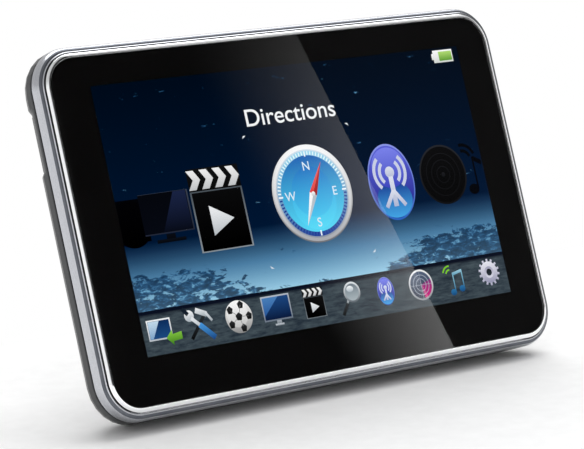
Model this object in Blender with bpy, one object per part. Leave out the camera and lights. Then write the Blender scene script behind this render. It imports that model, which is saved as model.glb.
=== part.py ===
"""Portable GPS navigator with a 4.3 inch touch screen, as the separate pieces it is assembled from.

Metres, +Z up. The screen faces -Y and +X is to the right of someone looking at it. The origin is under
the middle of the case, on the plane that the case stands on. A depth is measured back from the front.
"""

from math import cos, radians, sin, sqrt

import bmesh
import bpy
from mathutils import Vector

MM = 0.001

# The case as a whole, the wall of its rear shell, and the gap that neighbouring pieces keep
WIDTH = 117.3 * MM
HEIGHT = 74.2 * MM
THICKNESS = 12.5 * MM
CORNER_RADIUS = 8.4 * MM
WALL = 1.5 * MM
GAP = 0.3 * MM

# Bezel: chrome bead around the glass, then the silver band that runs back to the seam
BEZEL_WIDTH = 2.4 * MM
BEAD_WIDTH = 0.7 * MM
BAND_DEPTH = 0.7 * MM
BAND_LAND = 0.25 * MM
SEAM_DEPTH = 3.1 * MM
LIP_WIDTH = 1.0 * MM
LIP_HEIGHT = 1.3 * MM

# Screen stack, front to back
GLASS_RECESS = 0.2 * MM
GLASS_THICKNESS = 1.1 * MM
GASKET_THICKNESS = 0.3 * MM
GASKET_OVERLAP = 2.25 * MM
LCD_SIDE_CLEARANCE = 3.1 * MM
LCD_END_CLEARANCE = 0.7 * MM
LCD_THICKNESS = 1.2 * MM
BACKLIGHT_THICKNESS = 1.6 * MM
BACKLIGHT_STEP = 1.0 * MM
CHASSIS_THICKNESS = 0.5 * MM
CHASSIS_SIDE_MARGIN = 5.35 * MM
CHASSIS_END_MARGIN = 4.5 * MM
BOARD_THICKNESS = 1.0 * MM

# Rear shell: the long curve of its short sides and the tight curve of its top and bottom
SIDE_CURVE_INSET = 12.0 * MM
END_CURVE = 4.0 * MM
SIDE_LAND = 0.4 * MM
CURVE_STATIONS = 7

# Main board, which reaches from the left side past its chips
BOARD_SIDE_CLEARANCE = 2.85 * MM
BOARD_SIDE_MARGIN = WALL + GAP + LIP_WIDTH + BOARD_SIDE_CLEARANCE
BOARD_BOTTOM = 5.0 * MM
BOARD_TOP_MARGIN = 5.2 * MM
BOARD_PAST_CHIPS = 30.0 * MM

# Screws that close the case, their posts and their bosses
SCREW_SIDE_MARGIN = 15.65 * MM
SCREW_FROM_BOTTOM = 9.0 * MM
SCREW_FROM_TOP = 7.0 * MM
SHANK_RADIUS = 0.8 * MM
CASE_HEAD_RADIUS = 1.9 * MM
CASE_HEAD_HEIGHT = 1.3 * MM
BOARD_HEAD_RADIUS = 1.7 * MM
BOARD_HEAD_HEIGHT = 0.8 * MM
POST_RADIUS = 2.6 * MM
POST_HEIGHT = 3.1 * MM
BOSS_RADIUS = 3.2 * MM

# Battery, right of the board
BATTERY_SIDE_MARGIN = 11.15 * MM
BATTERY_HEIGHT = 49.0 * MM
BATTERY_THICKNESS = 3.6 * MM
BATTERY_PAD_THICKNESS = 0.4 * MM
BATTERY_AISLE = 3.5 * MM
LEAD_RADIUS = 0.5 * MM

# Speaker, which faces the grille in the rear shell
SPEAKER_FROM_BOTTOM = 30.5 * MM
SPEAKER_RADIUS = 13.0 * MM
SPEAKER_SIDE_MARGIN = 11.15 * MM
SPEAKER_FROM_LEFT = SPEAKER_SIDE_MARGIN + SPEAKER_RADIUS
SPEAKER_HEIGHT = 2.3 * MM
SPEAKER_RIM = 1.1 * MM
SPEAKER_GASKET_THICKNESS = 0.4 * MM
MAGNET_RADIUS = 6.0 * MM
GRILLE_SLOTS = 7
GRILLE_PITCH = 2.8 * MM
GRILLE_SLOT_WIDTH = 1.2 * MM

# Memory card in the left side, with its finger scoop
CARD_FROM_TOP = 17.4 * MM
CARD_LENGTH = 15.0 * MM
CARD_WIDTH = 11.0 * MM
CARD_THICKNESS = 0.7 * MM
CARD_SIDE_MARGIN = 2.65 * MM
CARD_SOCKET_CLEARANCE = 0.46 * MM
SOCKET_SHEET = 0.3 * MM
CARD_SOCKET_WALL = 1.2 * MM
CARD_SOCKET_END = 2.7 * MM
SCOOP_LENGTH = 11.5 * MM
SCOOP_DEPTH = 0.6 * MM
SCOOP_RAMP = 1.0 * MM

# Sockets in the bottom, set back from the wall so that they clear its inner curve
SOCKET_SETBACK = 1.1 * MM
USB_FROM_LEFT = 42.5 * MM
USB_WIDTH = 7.7 * MM
USB_HEIGHT = 3.9 * MM
USB_LENGTH = 9.0 * MM
USB_SHEET = 0.4 * MM
JACK_FROM_LEFT = 23.65 * MM
JACK_WIDTH = 6.0 * MM
JACK_HEIGHT = 3.9 * MM
JACK_LENGTH = 12.0 * MM
JACK_BORE_RADIUS = 1.75 * MM
JACK_HOLE_RADIUS = 2.6 * MM
MIC_FROM_LEFT = 33.6 * MM
MIC_HOLE_RADIUS = 0.5 * MM

# Power button in the top, and the charge light beside it
BUTTON_FROM_LEFT = 28.65 * MM
BUTTON_DEPTH = 7.0 * MM
BUTTON_LENGTH = 12.0 * MM
BUTTON_THICKNESS = 3.0 * MM
BUTTON_PROUD = 0.5 * MM
FLANGE_MARGIN = 1.0 * MM
FLANGE_THICKNESS = 1.1 * MM
POWER_TRAVEL = 0.5 * MM
LIGHT_FROM_LEFT = 37.15 * MM
LIGHT_PIPE_RADIUS = 0.7 * MM

# Reset switch behind a pinhole in the back
RESET_FROM_BOTTOM = 15.0 * MM
RESET_FROM_BOARD_EDGE = 2.1 * MM
RESET_TRAVEL = 0.3 * MM
PINHOLE_RADIUS = 0.8 * MM

# Blind slots that a windscreen cradle hooks into
CRADLE_SLOT_LENGTH = 10.0 * MM
CRADLE_SLOT_WIDTH = 2.0 * MM
CRADLE_SLOT_DEPTH = 0.9 * MM
CRADLE_SLOT_FROM_EDGE = 6.2 * MM
CRADLE_SLOT_SPREAD = 14.0 * MM

# The chips start clear of the speaker
CHIP_CLEARANCE = 2.5 * MM
CHIPS_FROM_LEFT = SPEAKER_FROM_LEFT + SPEAKER_RADIUS + CHIP_CLEARANCE - BOARD_SIDE_MARGIN

# Parts soldered on the back of the board: distance from where the chips start, width, height above the base,
# height, how far the part stands off the board, and its finish
BOARD_PARTS = {
    "processor_chip": (0.0 * MM, 14.0 * MM, 30.0 * MM, 14.0 * MM, 1.3 * MM, "black_plastic"),
    "memory_chip": (0.0 * MM, 10.0 * MM, 16.5 * MM, 11.0 * MM, 1.1 * MM, "black_plastic"),
    "flash_chip": (13.0 * MM, 10.0 * MM, 16.5 * MM, 10.0 * MM, 1.1 * MM, "black_plastic"),
    "gps_shield_can": (16.0 * MM, 12.0 * MM, 31.0 * MM, 14.0 * MM, 1.8 * MM, "steel"),
    "gps_patch_antenna": (2.0 * MM, 18.0 * MM, HEIGHT - 25.2 * MM, 18.0 * MM, 3.0 * MM, "ceramic"),
}
CELL_FROM_LEFT = 26.0 * MM
CELL_BELOW_CARD = 0.8 * MM
CELL_RADIUS = 3.4 * MM
CELL_HEIGHT = 1.4 * MM

# Small parts
USB_TONGUE_THICKNESS = 0.9 * MM
MIC_SIZE = (3.8 * MM, 1.1 * MM, 3.0 * MM)
BUTTON_STEM = 0.7 * MM
STEM_SIZE = (3.0 * MM, 1.0 * MM)
PLUNGER_SIZE = 0.8 * MM
SWITCH_WIDTH = 6.0 * MM
SWITCH_HEIGHT = 4.0 * MM
LED_SIZE = 1.6 * MM
LIGHT_SINK = 0.1 * MM
RESET_WIDTH = 3.0 * MM
RESET_HEIGHT = 1.5 * MM
RESET_PLUNGER = 1.0 * MM
PAD_MARGIN = 2.0 * MM
STRIP_INDENT = 3.5 * MM
STRIP_CLEARANCE = 1.8 * MM
STRIP_HEIGHT = 3.0 * MM
STRIP_FRONT = 7.6 * MM
STRIP_THICKNESS = 2.4 * MM
PLUG_FROM_BOARD_EDGE = 4.5 * MM
PLUG_BELOW_STRIP = 6.0 * MM
PLUG_LENGTH = 3.0 * MM
PLUG_WIDTH = 5.0 * MM
PLUG_THICKNESS = 2.6 * MM
LEAD_LOOP = 2.0 * MM
COIL_RADIUS = 4.0 * MM
COIL_WALL = 0.6 * MM
COIL_HEIGHT = 0.3 * MM
CONE_DISH = 0.2 * MM
CONE_SHEET = 0.2 * MM
MESH_SHEET = 0.15 * MM
SPEAKER_LEAD_SPAN = 8.0 * MM
CASE_HEAD_SINK = 0.3 * MM

# Flat tails of the display and the touch layer, and where the board's three screws stand
FLEX_THICKNESS = 0.15 * MM
FLEX_LIFT = 0.6 * MM
LCD_TAIL_FROM_BOARD_EDGE = 5.0 * MM
LCD_TAIL_WIDTH = 15.0 * MM
LCD_TAIL_DROP = 0.4 * MM
LCD_CONNECTOR_Z = (9.0 * MM, 12.5 * MM)
TOUCH_TAIL_Z = (20.0 * MM, 27.0 * MM)
TOUCH_TAIL_CLEARANCE = 0.9 * MM
CONNECTOR_HEIGHT = 1.3 * MM
CONNECTOR_WIDTH = 3.0 * MM
BOARD_SCREW_FROM_LEFT = 5.0 * MM
BOARD_SCREW_FROM_RIGHT = 3.2 * MM
BOARD_SCREW_LOW = 10.0 * MM
BOARD_SCREW_RIGHT_LOW = 22.0 * MM
BOARD_SCREW_BELOW_CARD = 10.3 * MM

# Places that follow from the sizes above
LEFT = -WIDTH / 2
CENTRE_Z = HEIGHT / 2
LIP_INSIDE = WALL + GAP + LIP_WIDTH
LCD_WIDTH = WIDTH - 2 * (LIP_INSIDE + LCD_SIDE_CLEARANCE)
LCD_HEIGHT = HEIGHT - 2 * (LIP_INSIDE + LCD_END_CLEARANCE)
GLASS_BACK = GLASS_RECESS + GLASS_THICKNESS
LEDGE_DEPTH = GLASS_BACK + GASKET_THICKNESS + 2 * GAP
LCD_BACK = LEDGE_DEPTH + LCD_THICKNESS
BACKLIGHT_FRONT = LCD_BACK + GAP
CHASSIS_FRONT = BACKLIGHT_FRONT + BACKLIGHT_THICKNESS + GAP
CHASSIS_BACK = CHASSIS_FRONT + CHASSIS_THICKNESS
BOARD_FRONT = CHASSIS_BACK + GAP
BOARD_BACK = BOARD_FRONT + BOARD_THICKNESS
ON_BOARD = BOARD_BACK + GAP
POST_BACK = CHASSIS_BACK + POST_HEIGHT
SHELL_FRONT = SEAM_DEPTH + GAP
SIDE_CURVE_START = SHELL_FRONT + SIDE_LAND
INNER_BACK = THICKNESS - WALL
BOARD_LEFT = LEFT + BOARD_SIDE_MARGIN
BOARD_RIGHT = BOARD_LEFT + CHIPS_FROM_LEFT + BOARD_PAST_CHIPS
BOARD_TOP = HEIGHT - BOARD_TOP_MARGIN
BATTERY_LEFT = BOARD_RIGHT + BATTERY_AISLE
BATTERY_RIGHT = WIDTH / 2 - BATTERY_SIDE_MARGIN
LCD_TAIL_RIGHT = BOARD_RIGHT - LCD_TAIL_FROM_BOARD_EDGE
LCD_TAIL_X = (LCD_TAIL_RIGHT - LCD_TAIL_WIDTH, LCD_TAIL_RIGHT)
BATTERY_BOTTOM = SCREW_FROM_BOTTOM + BOSS_RADIUS + GAP
BATTERY_TOP = BATTERY_BOTTOM + BATTERY_HEIGHT
SCREW_HOLE_RADIUS = SHANK_RADIUS + GAP
CARD_Z = HEIGHT - CARD_FROM_TOP
FLEX_DEPTH = ON_BOARD + FLEX_LIFT
TOUCH_TAIL_X = BOARD_LEFT - TOUCH_TAIL_CLEARANCE
TOUCH_CONNECTOR_LEFT = BOARD_LEFT + 1.0 * MM

FINISHES = {
    # finish: colour as sRGB hex, roughness, metallic
    "black_glass": ("0b0c0e", 0.05, 0.0),
    "chrome": ("d8dadd", 0.08, 1.0),
    "satin_silver": ("bfc1c8", 0.32, 1.0),
    "gunmetal": ("44474d", 0.42, 0.3),
    "black_foam": ("17181a", 0.9, 0.0),
    "screen": ("123a6e", 0.2, 0.0),
    "steel": ("b9bcc0", 0.3, 1.0),
    "black_plastic": ("1a1b1e", 0.5, 0.0),
    "white_plastic": ("e6e4dc", 0.5, 0.0),
    "board_green": ("1f5c38", 0.45, 0.0),
    "flex_amber": ("b5701f", 0.4, 0.0),
    "ceramic": ("cbbf9f", 0.6, 0.0),
    "foil": ("c9ccd1", 0.35, 0.8),
    "paper_cone": ("24221f", 0.85, 0.0),
    "copper": ("b87340", 0.3, 1.0),
    "red_wire": ("b3201c", 0.5, 0.0),
    "black_wire": ("1b1b1b", 0.5, 0.0),
    "clear_plastic": ("e8eef2", 0.15, 0.0),
}


def depth_y(depth):
    """The Y coordinate of a depth behind the front of the case."""
    return depth - THICKNESS / 2


def linear(channel):
    """One sRGB channel, 0 to 1, as the linear value that a shader takes."""
    return channel / 12.92 if channel <= 0.04045 else ((channel + 0.055) / 1.055) ** 2.4


def finish_material(name, finish):
    """A new Principled material for one piece."""
    colour, roughness, metallic = FINISHES[finish]
    channels = [linear(int(colour[i : i + 2], 16) / 255) for i in (0, 2, 4)]
    made = bpy.data.materials.new(name + "_" + finish)
    made.use_nodes = True
    shader = made.node_tree.nodes["Principled BSDF"]
    shader.inputs["Base Color"].default_value = (*channels, 1.0)
    shader.inputs["Roughness"].default_value = roughness
    shader.inputs["Metallic"].default_value = metallic
    return made


def add_piece(name, mesh_builder, finish, origin=(0, 0, 0), smooth=False):
    """Turns a bmesh in world coordinates into an object whose origin is at `origin`."""
    bmesh.ops.recalc_face_normals(mesh_builder, faces=mesh_builder.faces)
    bmesh.ops.translate(mesh_builder, verts=mesh_builder.verts, vec=-Vector(origin))
    mesh = bpy.data.meshes.new(name)
    mesh_builder.to_mesh(mesh)
    mesh_builder.free()
    if smooth:
        mesh.shade_smooth()
        mesh.set_sharp_from_angle(angle=radians(35))
    piece = bpy.data.objects.new(name, mesh)
    piece.location = origin
    piece.parent = navigator
    bpy.context.scene.collection.objects.link(piece)
    if finish:
        mesh.materials.append(finish_material(name, finish))
    return piece


def upright_loop(half_x, half_z, radius, depth, x=0.0, z=CENTRE_Z, steps=6):
    """A rounded rectangle in a plane that faces the front, anticlockwise from its right side."""
    points = []
    for index, (side_x, side_z) in enumerate(((1, 1), (-1, 1), (-1, -1), (1, -1))):
        for step in range(steps + 1):
            angle = radians(90 * (index + step / steps))
            along = x + side_x * (half_x - radius) + radius * cos(angle)
            up = z + side_z * (half_z - radius) + radius * sin(angle)
            points.append(Vector((along, depth_y(depth), up)))
    return points


def upright_circle(radius, depth, x, z, steps=16):
    """A circle in a plane that faces the front."""
    angles = [radians(360 * step / steps) for step in range(steps)]
    return [Vector((x + radius * cos(a), depth_y(depth), z + radius * sin(a))) for a in angles]


def level_loop(x, half_x, depth, half_depth, radius, z, steps=3):
    """A rounded rectangle in a horizontal plane."""
    points = []
    for index, (side_x, side_y) in enumerate(((1, 1), (-1, 1), (-1, -1), (1, -1))):
        for step in range(steps + 1):
            angle = radians(90 * (index + step / steps))
            along = x + side_x * (half_x - radius) + radius * cos(angle)
            back = depth_y(depth) + side_y * (half_depth - radius) + radius * sin(angle)
            points.append(Vector((along, back, z)))
    return points


def level_circle(radius, x, depth, z, steps=12):
    """A circle in a horizontal plane."""
    angles = [radians(360 * step / steps) for step in range(steps)]
    return [Vector((x + radius * cos(a), depth_y(depth) + radius * sin(a), z)) for a in angles]


def loft_into(builder, loops, ring=False):
    """Joins loops of equal length with quads, and caps the ends unless they close into a ring."""
    rows = [[builder.verts.new(point) for point in loop] for loop in loops]
    pairs = list(zip(rows, rows[1:]))
    if ring:
        pairs.append((rows[-1], rows[0]))
    for here, there in pairs:
        for i in range(len(here)):
            j = (i + 1) % len(here)
            builder.faces.new((here[i], here[j], there[j], there[i]))
    if not ring:
        builder.faces.new(rows[0])
        builder.faces.new(rows[-1])


def loft(name, loops, finish, ring=False, origin=(0, 0, 0), smooth=False):
    """One piece lofted through its loops."""
    builder = bmesh.new()
    loft_into(builder, loops, ring)
    return add_piece(name, builder, finish, origin, smooth)


def box_into(builder, x_range, depth_range, z_range):
    """Adds a box between two depths and two heights."""
    low = Vector((x_range[0], depth_y(depth_range[0]), z_range[0]))
    high = Vector((x_range[1], depth_y(depth_range[1]), z_range[1]))
    made = bmesh.ops.create_cube(builder, size=1.0)["verts"]
    bmesh.ops.scale(builder, vec=high - low, verts=made)
    bmesh.ops.translate(builder, vec=(low + high) / 2, verts=made)


def box(name, x_range, depth_range, z_range, finish, origin=(0, 0, 0)):
    """One box-shaped piece."""
    builder = bmesh.new()
    box_into(builder, x_range, depth_range, z_range)
    return add_piece(name, builder, finish, origin)


def around(centre, size):
    """The range of a given size about a centre."""
    return (centre - size / 2, centre + size / 2)


def combine(piece, other, operation):
    """Cuts `other` from `piece`, or joins it, and hides it as a tool."""
    other.hide_render = True
    other.display_type = "WIRE"
    change = piece.modifiers.new(other.name, "BOOLEAN")
    change.operation = operation
    change.solver = "EXACT"
    change.object = other


def tube(name, route, radius, finish, rings=14):
    """A round lead along a smooth curve through the points of its route."""
    ends = [2 * route[0] - route[1], *route, 2 * route[-1] - route[-2]]
    points = []
    for i in range(rings):
        place = i / (rings - 1) * (len(route) - 1)
        span = min(int(place), len(route) - 2)
        t = place - span
        a, b, c, d = ends[span : span + 4]
        bend = 2 * a - 5 * b + 4 * c - d
        points.append((2 * b + (c - a) * t + bend * t**2 + (3 * b - a - 3 * c + d) * t**3) / 2)
    curve = bpy.data.curves.new(name, "CURVE")
    curve.dimensions = "3D"
    curve.bevel_depth = radius
    curve.bevel_resolution = 2
    curve.use_fill_caps = True
    spline = curve.splines.new("POLY")
    spline.points.add(len(points) - 1)
    for spline_point, point in zip(spline.points, points):
        spline_point.co = (*point, 1.0)
    curve.materials.append(finish_material(name, finish))
    lead = bpy.data.objects.new(name, curve)
    lead.parent = navigator
    bpy.context.scene.collection.objects.link(lead)


def case_ring(inset, depth):
    """The case outline, drawn in by `inset`."""
    radius = max(CORNER_RADIUS - inset, GAP)
    return upright_loop(WIDTH / 2 - inset, HEIGHT / 2 - inset, radius, depth)


def curve_inset(depth, start, reach, inset):
    """How far an elliptical edge has drawn in at a depth, if it starts at `start`."""
    share = min(max((depth - start) / reach, 0.0), 1.0)
    return inset * (1 - sqrt(1 - share**2))


def shell_side(depth, wall):
    """Half the width of the rear shell at a depth, `wall` inside its outer face."""
    reach = THICKNESS - wall - SIDE_CURVE_START
    return WIDTH / 2 - wall - curve_inset(depth, SIDE_CURVE_START, reach, SIDE_CURVE_INSET)


def shell_end(depth, wall):
    """Half the height of the rear shell at a depth, `wall` inside its outer face."""
    reach = END_CURVE - wall
    return HEIGHT / 2 - wall - curve_inset(depth, THICKNESS - END_CURVE, reach, reach)


def shell_stations(wall):
    """Depths from the seam to the back at which the rear shell's skin is drawn."""
    reach = THICKNESS - wall - SIDE_CURVE_START
    steps = range(1, CURVE_STATIONS + 1)
    curved = [SIDE_CURVE_START + reach * sin(radians(90 * k / CURVE_STATIONS)) for k in steps]
    return sorted([SHELL_FRONT, SIDE_CURVE_START, THICKNESS - END_CURVE, *curved])


def shell_skin(wall):
    """The loops of the rear shell's outer or inner skin, front to back."""
    loops = []
    for depth in shell_stations(wall):
        sides = (shell_side(depth, wall), shell_end(depth, wall))
        loops.append(upright_loop(*sides, CORNER_RADIUS - wall, depth))
    return loops


for old in list(bpy.data.objects):
    bpy.data.objects.remove(old, do_unlink=True)

navigator = bpy.data.objects.new("navigator", None)
bpy.context.scene.collection.objects.link(navigator)


# Bezel and front frame. The frame holds the glass on a ledge, and a lip on its back enters the shell.


def chrome_rim():
    """A bead with a rounded crest, standing on the frame's ledge."""
    outer = BEZEL_WIDTH - BEAD_WIDTH
    crest = BEAD_WIDTH / 2
    section = [(BEZEL_WIDTH, LEDGE_DEPTH - GAP)]
    for step in range(7):
        angle = radians(180 * step / 6)
        section.append((outer + crest + crest * cos(angle), crest - crest * sin(angle)))
    section.append((outer, LEDGE_DEPTH - GAP))
    loft("chrome_rim", [case_ring(*point) for point in section], "chrome", ring=True, smooth=True)


def front_frame():
    """The silver band with its ledge, its locating lip and the opening for the display."""
    pocket = BEZEL_WIDTH - BEAD_WIDTH - GAP
    crest = pocket - BAND_LAND
    drop = SEAM_DEPTH - BAND_DEPTH - 2 * BAND_LAND
    section = [(pocket, BAND_DEPTH)]
    for step in range(5):
        angle = radians(90 * step / 4)
        section.append((crest * (1 - sin(angle)), BAND_DEPTH + drop * (1 - cos(angle))))
    lip = WALL + GAP
    lip_back = SEAM_DEPTH + LIP_HEIGHT
    section += [(0.0, SEAM_DEPTH), (lip, SEAM_DEPTH), (lip, lip_back)]
    section += [(lip + LIP_WIDTH, lip_back), (lip + LIP_WIDTH, SEAM_DEPTH)]
    loops = [case_ring(*point) for point in section]
    opening = (LCD_WIDTH / 2 + GAP, LCD_HEIGHT / 2 + GAP, GAP)
    loops += [upright_loop(*opening, SEAM_DEPTH), upright_loop(*opening, LEDGE_DEPTH)]
    loops.append(case_ring(pocket, LEDGE_DEPTH))
    frame = loft("front_frame", loops, "satin_silver", ring=True, smooth=True)
    passage = around(TOUCH_TAIL_X, 6 * GAP)
    width = (TOUCH_TAIL_Z[0] - 2 * GAP, TOUCH_TAIL_Z[1] + 2 * GAP)
    depths = (LEDGE_DEPTH - GAP, SEAM_DEPTH + GAP)
    combine(frame, box("touch_tail_passage", passage, depths, width, None), "DIFFERENCE")


# Screen: cover glass with the touch layer, its adhesive gasket, the display and its backlight.


def touch_glass():
    """The flush cover glass with the touch layer bonded behind it."""
    edge = BEZEL_WIDTH + GAP
    loft("touch_glass", [case_ring(edge, GLASS_RECESS), case_ring(edge, GLASS_BACK)], "black_glass")


def glass_gasket():
    """The foam adhesive ring between the glass and the display."""
    front = GLASS_BACK + GAP
    back = front + GASKET_THICKNESS
    outer = (LCD_WIDTH / 2 + 2 * GAP, LCD_HEIGHT / 2 + GAP, 2.0 * MM)
    inner = (LCD_WIDTH / 2 - GASKET_OVERLAP, LCD_HEIGHT / 2 - GASKET_OVERLAP, 2.0 * MM)
    loops = [upright_loop(*outer, front), upright_loop(*outer, back)]
    loops += [upright_loop(*inner, back), upright_loop(*inner, front)]
    loft("glass_gasket", loops, "black_foam", ring=True)


def display():
    """The liquid crystal panel and the tray of the backlight behind it."""
    across = around(0.0, LCD_WIDTH)
    low, high = around(CENTRE_Z, LCD_HEIGHT)
    backlight_back = BACKLIGHT_FRONT + BACKLIGHT_THICKNESS
    box("lcd_panel", across, (LEDGE_DEPTH, LCD_BACK), (low, high), "screen")
    tray = (BACKLIGHT_FRONT, backlight_back)
    box("lcd_backlight", across, tray, (low + BACKLIGHT_STEP, high), "steel")


def ribbon_section(turn_from, turn_to, front):
    """An L of (position, depth) that runs back from `front` and then turns along the board."""
    towards = FLEX_THICKNESS if turn_to > turn_from else -FLEX_THICKNESS
    back = FLEX_DEPTH + FLEX_THICKNESS
    outside = [(turn_from, front), (turn_from, back), (turn_to, back)]
    return [*outside, (turn_to, FLEX_DEPTH), (turn_from + towards, FLEX_DEPTH), (turn_from + towards, front)]


def flex_tails():
    """The flat tails of the display and of the touch layer, which turn onto the board's back."""
    low = CENTRE_Z - LCD_HEIGHT / 2 + LCD_TAIL_DROP
    section = ribbon_section(low, LCD_CONNECTOR_Z[0] - GAP, BACKLIGHT_FRONT)
    loops = [[Vector((x, depth_y(depth), z)) for z, depth in section] for x in LCD_TAIL_X]
    loft("lcd_flex", loops, "flex_amber")
    section = ribbon_section(TOUCH_TAIL_X, TOUCH_CONNECTOR_LEFT - GAP, GLASS_BACK + GAP)
    loops = [[Vector((x, depth_y(depth), z)) for x, depth in section] for z in TOUCH_TAIL_Z]
    loft("touch_flex", loops, "flex_amber")
    height = (ON_BOARD, ON_BOARD + CONNECTOR_HEIGHT)
    across = (TOUCH_CONNECTOR_LEFT, TOUCH_CONNECTOR_LEFT + CONNECTOR_WIDTH)
    box("lcd_flex_connector", LCD_TAIL_X, height, LCD_CONNECTOR_Z, "white_plastic")
    box("touch_flex_connector", across, height, TOUCH_TAIL_Z, "white_plastic")


# Chassis and main board. The chassis carries the display in front and the board behind it.


def case_screw_places():
    """Where the four screws stand, as X and Z."""
    across = WIDTH / 2 - SCREW_SIDE_MARGIN
    heights = (SCREW_FROM_BOTTOM, HEIGHT - SCREW_FROM_TOP)
    return [(side * across, z) for side in (-1, 1) for z in heights]


def board_screw_places():
    """Where the three screws of the board stand, as X and Z."""
    left = BOARD_LEFT + BOARD_SCREW_FROM_LEFT
    right = BOARD_RIGHT - BOARD_SCREW_FROM_RIGHT
    upper = CARD_Z - BOARD_SCREW_BELOW_CARD
    return [(left, BOARD_SCREW_LOW), (left, upper), (right, BOARD_SCREW_RIGHT_LOW)]


def mid_chassis():
    """A thin plate with four posts for the case screws."""
    half_height = (HEIGHT - 2 * CHASSIS_END_MARGIN) / 2
    sides = (WIDTH / 2 - CHASSIS_SIDE_MARGIN, half_height, 2.0 * MM)
    depths = (CHASSIS_FRONT, CHASSIS_BACK)
    plate = loft("mid_chassis", [upright_loop(*sides, depth) for depth in depths], "steel")
    posts = bmesh.new()
    holes = bmesh.new()
    sink = CHASSIS_THICKNESS / 2
    for x, z in case_screw_places():
        ends = (CHASSIS_BACK - sink, POST_BACK)
        loft_into(posts, [upright_circle(POST_RADIUS, depth, x, z) for depth in ends])
    for x, z in case_screw_places() + board_screw_places():
        ends = (CHASSIS_FRONT - GAP, POST_BACK + GAP)
        loft_into(holes, [upright_circle(SCREW_HOLE_RADIUS, depth, x, z) for depth in ends])
    combine(plate, add_piece("chassis_posts", posts, None), "UNION")
    combine(plate, add_piece("chassis_screw_holes", holes, None), "DIFFERENCE")


def main_board():
    """The board, notched for the two sunk sockets and bored for the posts and its own screws."""
    across = (BOARD_LEFT, BOARD_RIGHT)
    depths = (BOARD_FRONT, BOARD_BACK)
    board = box("main_board", across, depths, (BOARD_BOTTOM, BOARD_TOP), "board_green")
    cuts = bmesh.new()
    through = (BOARD_FRONT - GAP, BOARD_BACK + GAP)
    below = BOARD_BOTTOM - GAP
    for x, width, length in ((USB_X, USB_WIDTH, USB_LENGTH), (JACK_X, JACK_WIDTH, JACK_LENGTH)):
        top = SOCKET_Z + length + 2 * GAP
        box_into(cuts, around(x, width + 4 * GAP), through, (below, top))
    clear = POST_RADIUS + GAP
    for x, z in case_screw_places():
        if x < 0:
            loft_into(cuts, [upright_circle(clear, depth, x, z) for depth in through])
    for x, z in board_screw_places():
        loft_into(cuts, [upright_circle(SCREW_HOLE_RADIUS, depth, x, z) for depth in through])
    combine(board, add_piece("board_cuts", cuts, None), "DIFFERENCE")


def board_parts():
    """The chips and other parts soldered on the back of the board."""
    for name, (along, width, bottom, height, stand_off, finish) in BOARD_PARTS.items():
        left = BOARD_LEFT + CHIPS_FROM_LEFT + along
        depths = (ON_BOARD, ON_BOARD + stand_off)
        box(name, (left, left + width), depths, (bottom, bottom + height), finish)
    cell_x, cell_z = BOARD_LEFT + CELL_FROM_LEFT, CARD_Z - CELL_BELOW_CARD
    ends = (ON_BOARD, ON_BOARD + CELL_HEIGHT)
    cell = [upright_circle(CELL_RADIUS, depth, cell_x, cell_z) for depth in ends]
    loft("backup_cell", cell, "steel", smooth=True)


# Sockets. The USB socket and the headphone jack are sunk in the board and face down through the shell,
# and the card socket faces left. The card slides in it.

USB_X = LEFT + USB_FROM_LEFT
JACK_X = LEFT + JACK_FROM_LEFT
MIC_X = LEFT + MIC_FROM_LEFT
SOCKET_Z = WALL + SOCKET_SETBACK
SUNK_FRONT = BOARD_FRONT
JACK_DEPTH = SUNK_FRONT + JACK_HEIGHT / 2
CARD_FRONT = ON_BOARD + SOCKET_SHEET + GAP
CARD_BACK = CARD_FRONT + CARD_THICKNESS
CARD_SOCKET_BACK = CARD_BACK + GAP + SOCKET_SHEET
CARD_SOCKET_LEFT = -shell_side(CARD_SOCKET_BACK, WALL) + CARD_SOCKET_CLEARANCE


def usb_socket():
    """The sheet-metal shell of the mini USB socket and the tongue inside it."""
    depths = (SUNK_FRONT, SUNK_FRONT + USB_HEIGHT)
    top = SOCKET_Z + USB_LENGTH
    shell = box("usb_socket", around(USB_X, USB_WIDTH), depths, (SOCKET_Z, top), "steel")
    hollow = (depths[0] + USB_SHEET, depths[1] - USB_SHEET)
    hollow_top = top - 2 * USB_SHEET
    inside = around(USB_X, USB_WIDTH - 2 * USB_SHEET)
    cutter = box("usb_hollow", inside, hollow, (SOCKET_Z - GAP, hollow_top), None)
    combine(shell, cutter, "DIFFERENCE")
    tongue = around(SUNK_FRONT + USB_HEIGHT / 2, USB_TONGUE_THICKNESS)
    width = USB_WIDTH - 6 * USB_SHEET
    span = (SOCKET_Z + 2 * USB_SHEET, hollow_top - GAP)
    box("usb_tongue", around(USB_X, width), tongue, span, "black_plastic")


def headphone_socket():
    """The 3.5 mm jack: a plastic body with a blind bore."""
    depths = (SUNK_FRONT, SUNK_FRONT + JACK_HEIGHT)
    top = SOCKET_Z + JACK_LENGTH
    body = box("headphone_socket", around(JACK_X, JACK_WIDTH), depths, (SOCKET_Z, top), "black_plastic")
    bore = bmesh.new()
    ends = (SOCKET_Z - GAP, top - USB_SHEET)
    loft_into(bore, [level_circle(JACK_BORE_RADIUS, JACK_X, JACK_DEPTH, z, 16) for z in ends])
    combine(body, add_piece("headphone_bore", bore, None), "DIFFERENCE")


def microphone():
    """The small microphone behind its hole in the bottom."""
    depths = (ON_BOARD, ON_BOARD + MIC_SIZE[1])
    span = (BOARD_BOTTOM + GAP, BOARD_BOTTOM + GAP + MIC_SIZE[2])
    box("microphone", around(MIC_X, MIC_SIZE[0]), depths, span, "steel")


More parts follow.
